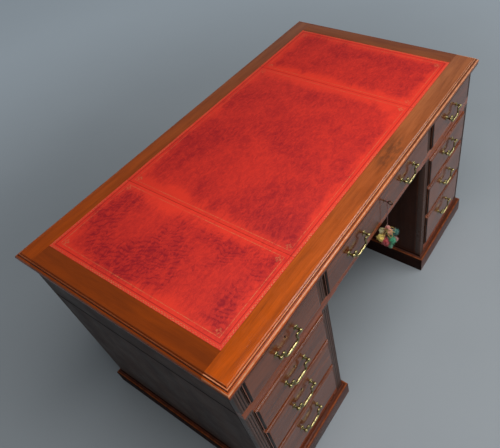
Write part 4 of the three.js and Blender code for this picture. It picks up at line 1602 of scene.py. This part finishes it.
class DESK_OT_fob(bpy.types.Operator):
    """Hangs the silk fob on its cord from the key"""

    bl_idname = "desk.fob"
    bl_label = "Fob"

    def execute(self, context):
        points = cord_points()
        data = bpy.data.curves.new("fob_line", "CURVE")
        data.dimensions = "3D"
        data.bevel_depth = CORD / 2
        data.bevel_resolution = 3
        data.use_fill_caps = True
        line = data.splines.new("POLY")
        line.points.add(len(points) - 1)
        for spot, point in zip(line.points, points):
            spot.co = (*point, 1)
        data.materials.append(cord_silk())
        cord = linked("fob_line", data)
        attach(cord, "fob")
        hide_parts("fob_cord")
        self.loop()
        hung = self.pompoms()
        return {"FINISHED"}

    def loop(self):
        """The turn of cord round the key's shank."""
        swing = joint_place("fob_swing")
        turns = [2 * math.pi * k / 24 for k in range(25)]
        route = [swing + Vector((math.sin(t), 0, math.cos(t))) * LOOP for t in turns]
        bm = bmesh.new()
        tube(bm, route, [CORD / 2] * 25, 10)
        piece("fob_loop", bm, cord_silk(), "fob")

    def pompoms(self):
        """Clustered puffs of yarn under a knotted head, within the fob's own outline."""
        low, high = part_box("fob")
        middle = (low + high) / 2
        source = random.Random(7)
        made = []
        for name, base, deep, place, radius in PUFFS:
            centre = middle + Vector(place) * MM
            yarn = silk(name, base, deep)
            made.append(self.puff(f"fob_puff_{name}", centre, radius * MM, yarn, source))
        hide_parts("fob")
        self.braid(Vector((middle.x, middle.y, high.z - 16 * MM)))
        return [self.head(Vector((middle.x, middle.y, high.z))), made[0]]

    def puff(self, name, centre, radius, material, source):
        """A ball of short yarn ends on a soft core."""
        bm = bmesh.new()
        layer = worn(bm)
        core = bmesh.ops.create_icosphere(bm, subdivisions=3, radius=radius * 0.8)["verts"]
        for vert in core:
            lump = 1 + 0.1 * math.sin(vert.co.x * 900) * math.cos(vert.co.z * 800)
            vert.co = centre + vert.co * lump
            vert[layer] = 0.3
        strands = 150
        for k in range(strands):
            z = 1 - 2 * (k + 0.5) / strands
            across, turn = (1 - z * z) ** 0.5, k * GOLDEN_ANGLE
            out = Vector((math.cos(turn) * across, math.sin(turn) * across, z))
            stray = source.uniform(-1, 1), source.uniform(-1, 1), source.uniform(-1.2, 0.4)
            lean = Vector(stray) * 0.22
            reach = source.choice((0.82, 0.95, 1.05, 1.25))
            root = centre + out * radius * 0.7
            tip = centre + (out + lean).normalized() * radius * reach
            bend = (root + tip) / 2 + lean * radius * 0.15
            tube(bm, [root, bend, tip], [0.75 * MM, 0.7 * MM, 0.45 * MM], 5, [0.3, 0.5, 0.8])
        return piece(name, bm, material, "fob", smooth=60)

    def head(self, top):
        """The wound head that the cord is knotted into."""
        profile = [
            (r * MM * (1 + 0.05 * (k % 2)), z * MM, 0.3 + 0.5 * (k % 2))
            for k, (r, z) in enumerate(arc(0, 6, 6, 6, -86, 40, 14))
        ]
        bm = bmesh.new()
        turned(bm, profile, top, (0, 0, -1), 20)
        return piece("fob_head", bm, silk("head", "d98a7c", "a04a40"), "fob", smooth=60)

    def braid(self, centre):
        """Loops of gilt braid between the puffs."""
        bm = bmesh.new()
        for k in range(5):
            turn = 2 * math.pi * k / 5 + 0.4
            out = Vector((math.cos(turn), math.sin(turn), 0)) * MM
            side = Vector((-math.sin(turn), math.cos(turn), 0)) * MM
            up = Vector((0, 0, 1)) * MM
            bends = [out * a + side * b + up * c for a, b, c in BRAID_LOOP]
            points = spline([centre, *[centre + bend for bend in bends], centre], 6)
            tube(bm, points, [0.9 * MM] * len(points), 8)
        piece("fob_braid", bm, silk("braid", "d2b25a", "7a5a22"), "fob", smooth=60)


# ---- Stage --------------------------------------------------------------------------------------


AIR = (0.62, 0.66, 0.7)  # colour of the soft light all round
BRIGHT = (0.75, -0.65, 0)  # toward the bright side of the room
SEEN = ("Is Camera Ray", "Is Glossy Ray", "Is Transmission Ray")  # rays that show the backdrop


class DESK_OT_camera(bpy.types.Operator):
    """Sets up the camera"""

    bl_idname = "desk.camera"
    bl_label = "Camera"

    def execute(self, context):
        s = settings().studio
        data = bpy.data.cameras.new("camera")
        data.sensor_fit = "HORIZONTAL"
        data.sensor_width = 36
        data.lens = s.lens
        data.shift_x, data.shift_y = s.shift
        data.dof.use_dof = False
        east, north = math.sin(s.azimuth), math.cos(s.azimuth)
        level = math.cos(s.tilt)
        forward = Vector((east * level, north * level, -math.sin(s.tilt)))
        across = forward.cross(Vector((0, 0, 1))).normalized()
        upward = across.cross(forward)
        right = across * math.cos(s.roll) + upward * math.sin(s.roll)
        up = -across * math.sin(s.roll) + upward * math.cos(s.roll)
        made = linked("camera", data)
        facing = Matrix((right, up, -forward)).transposed().to_4x4()
        made.matrix_world = Matrix.Translation(s.place) @ facing
        bpy.context.scene.camera = made
        return {"FINISHED"}


class DESK_OT_stage(bpy.types.Operator):
    """Lays the pale floor and hangs the soft lights"""

    bl_idname = "desk.stage"
    bl_label = "Floor and lights"

    def execute(self, context):
        self.floor()
        s = settings().studio
        self.lamp("key_light", (2.15, -3.1, 2.4), (0.1, -0.3, 0.6), (2.6, 1.0), s.key_power)
        self.lamp("window_light", (0.1, -3.3, 2.6), (-0.2, -0.3, 0.6), (2.6, 0.35), s.window_power)
        self.lamp("top_light", (-0.3, -0.8, 3.1), (0, 0, 0.7), (1.6, 1.6), s.top_power)
        self.surroundings(s)
        bpy.context.scene.view_settings.view_transform = "Standard"
        return {"FINISHED"}

    def surroundings(self, s):
        """Soft light all round, weaker from the left and behind, and the backdrop that is seen."""
        world = bpy.data.worlds.new("surroundings")
        world.use_nodes = True
        bpy.context.scene.world = world
        room = Nodes(world.node_tree)
        heading = room.value("ShaderNodeTexCoord", output="Generated")
        toward = room.value(
            "ShaderNodeVectorMath", {"operation": "DOT_PRODUCT"}, {0: heading, 1: BRIGHT}, "Value"
        )
        bright = toward.ramp(-0.9, 0.8, 0.42, 1.0)
        seen = room.rays(*SEEN)
        levels = {"Factor": seen, "A": bright * s.world, "B": bright.most(room.rays(SEEN[0]))}
        background = room.nodes["Background"].inputs
        room.feed(background["Strength"], room.value("ShaderNodeMix", None, levels, "Result"))
        room.feed(background["Color"], room.mix(seen, AIR, tuple(s.backdrop)))

    def floor(self):
        """A wide pale floor that melts into the backdrop."""
        s = settings().studio
        bm = bmesh.new()
        bmesh.ops.create_grid(bm, x_segments=1, y_segments=1, size=12)
        mesh = bpy.data.meshes.new("floor")
        bm.to_mesh(mesh)
        bm.free()
        made = linked("floor", mesh)
        f = Finish("floor")
        x, y, _ = f.parts(f.place())
        away = ((x * x + y * y) ** 0.5).ramp(0.9, 3.4)
        shade = f.noise(f.place(), 3, 4).ramp(0.3, 0.7) * 0.2
        mesh.materials.append(
            f.set(
                Base_Color=f.mix(shade, tuple(s.floor), tuple(Vector(s.floor) * 0.9)),
                Emission_Color=f.mix(away * f.rays(*SEEN), (0, 0, 0), tuple(s.backdrop)),
                Emission_Strength=0.8,
                Roughness=0.7,
            )
        )

    def lamp(self, name, place, target, size, power):
        """A soft rectangular light that faces a target."""
        data = bpy.data.lights.new(name, "AREA")
        data.shape = "RECTANGLE"
        data.size, data.size_y = size
        data.energy = power
        made = linked(name, data)
        made.location = place
        made.rotation_mode = "QUATERNION"
        made.rotation_quaternion = (Vector(target) - Vector(place)).to_track_quat("-Z", "Y")


class DESK_PT_panel(bpy.types.Panel):
    """Lists the desk's steps and settings"""

    bl_idname = "DESK_PT_panel"
    bl_label = "Writing desk"
    bl_space_type = "VIEW_3D"
    bl_region_type = "UI"
    bl_category = "Desk"

    def draw(self, context):
        for step in STEPS:
            self.layout.operator(step.bl_idname)
        for part in DeskSettings.__annotations__:
            group = getattr(context.scene.writing_desk, part)
            box = self.layout.box()
            for name in group.__annotations__:
                box.prop(group, name)


STEPS = (
    DESK_OT_camera,
    DESK_OT_fob,
    DESK_OT_top_boards,
    DESK_OT_hide,
    DESK_OT_face_frames,
    DESK_OT_sides,
    DESK_OT_plinths,
    DESK_OT_drawer_fronts,
    DESK_OT_drawer_boxes,
    DESK_OT_handle_posts,
    DESK_OT_bails,
    DESK_OT_lock_and_key,
    DESK_OT_stage,
)
GROUPS = (DeskTop, DeskCarcass, DeskDrawers, DeskHandles, DeskFinishes, DeskStudio, DeskSettings)
CLASSES = (*GROUPS, *STEPS, DESK_PT_panel)


def register():
    for made in CLASSES:
        bpy.utils.register_class(made)
    bpy.types.Scene.writing_desk = bpy.props.PointerProperty(
        type=DeskSettings, name="Writing desk", description="Settings of the writing desk"
    )


def unregister():
    del bpy.types.Scene.writing_desk
    for made in reversed(CLASSES):
        bpy.utils.unregister_class(made)


def clear_startup():
    """Removes what a new Blender file holds."""
    for name in ("Cube", "Light", "Camera"):
        if name in bpy.data.objects:
            bpy.data.objects.remove(bpy.data.objects[name])


def main():
    clear_startup()
    register()
    for step in STEPS:
        group, name = step.bl_idname.split(".")
        getattr(getattr(bpy.ops, group), name)()
    bpy.context.view_layer.update()


if __name__ == "__main__":
    main()
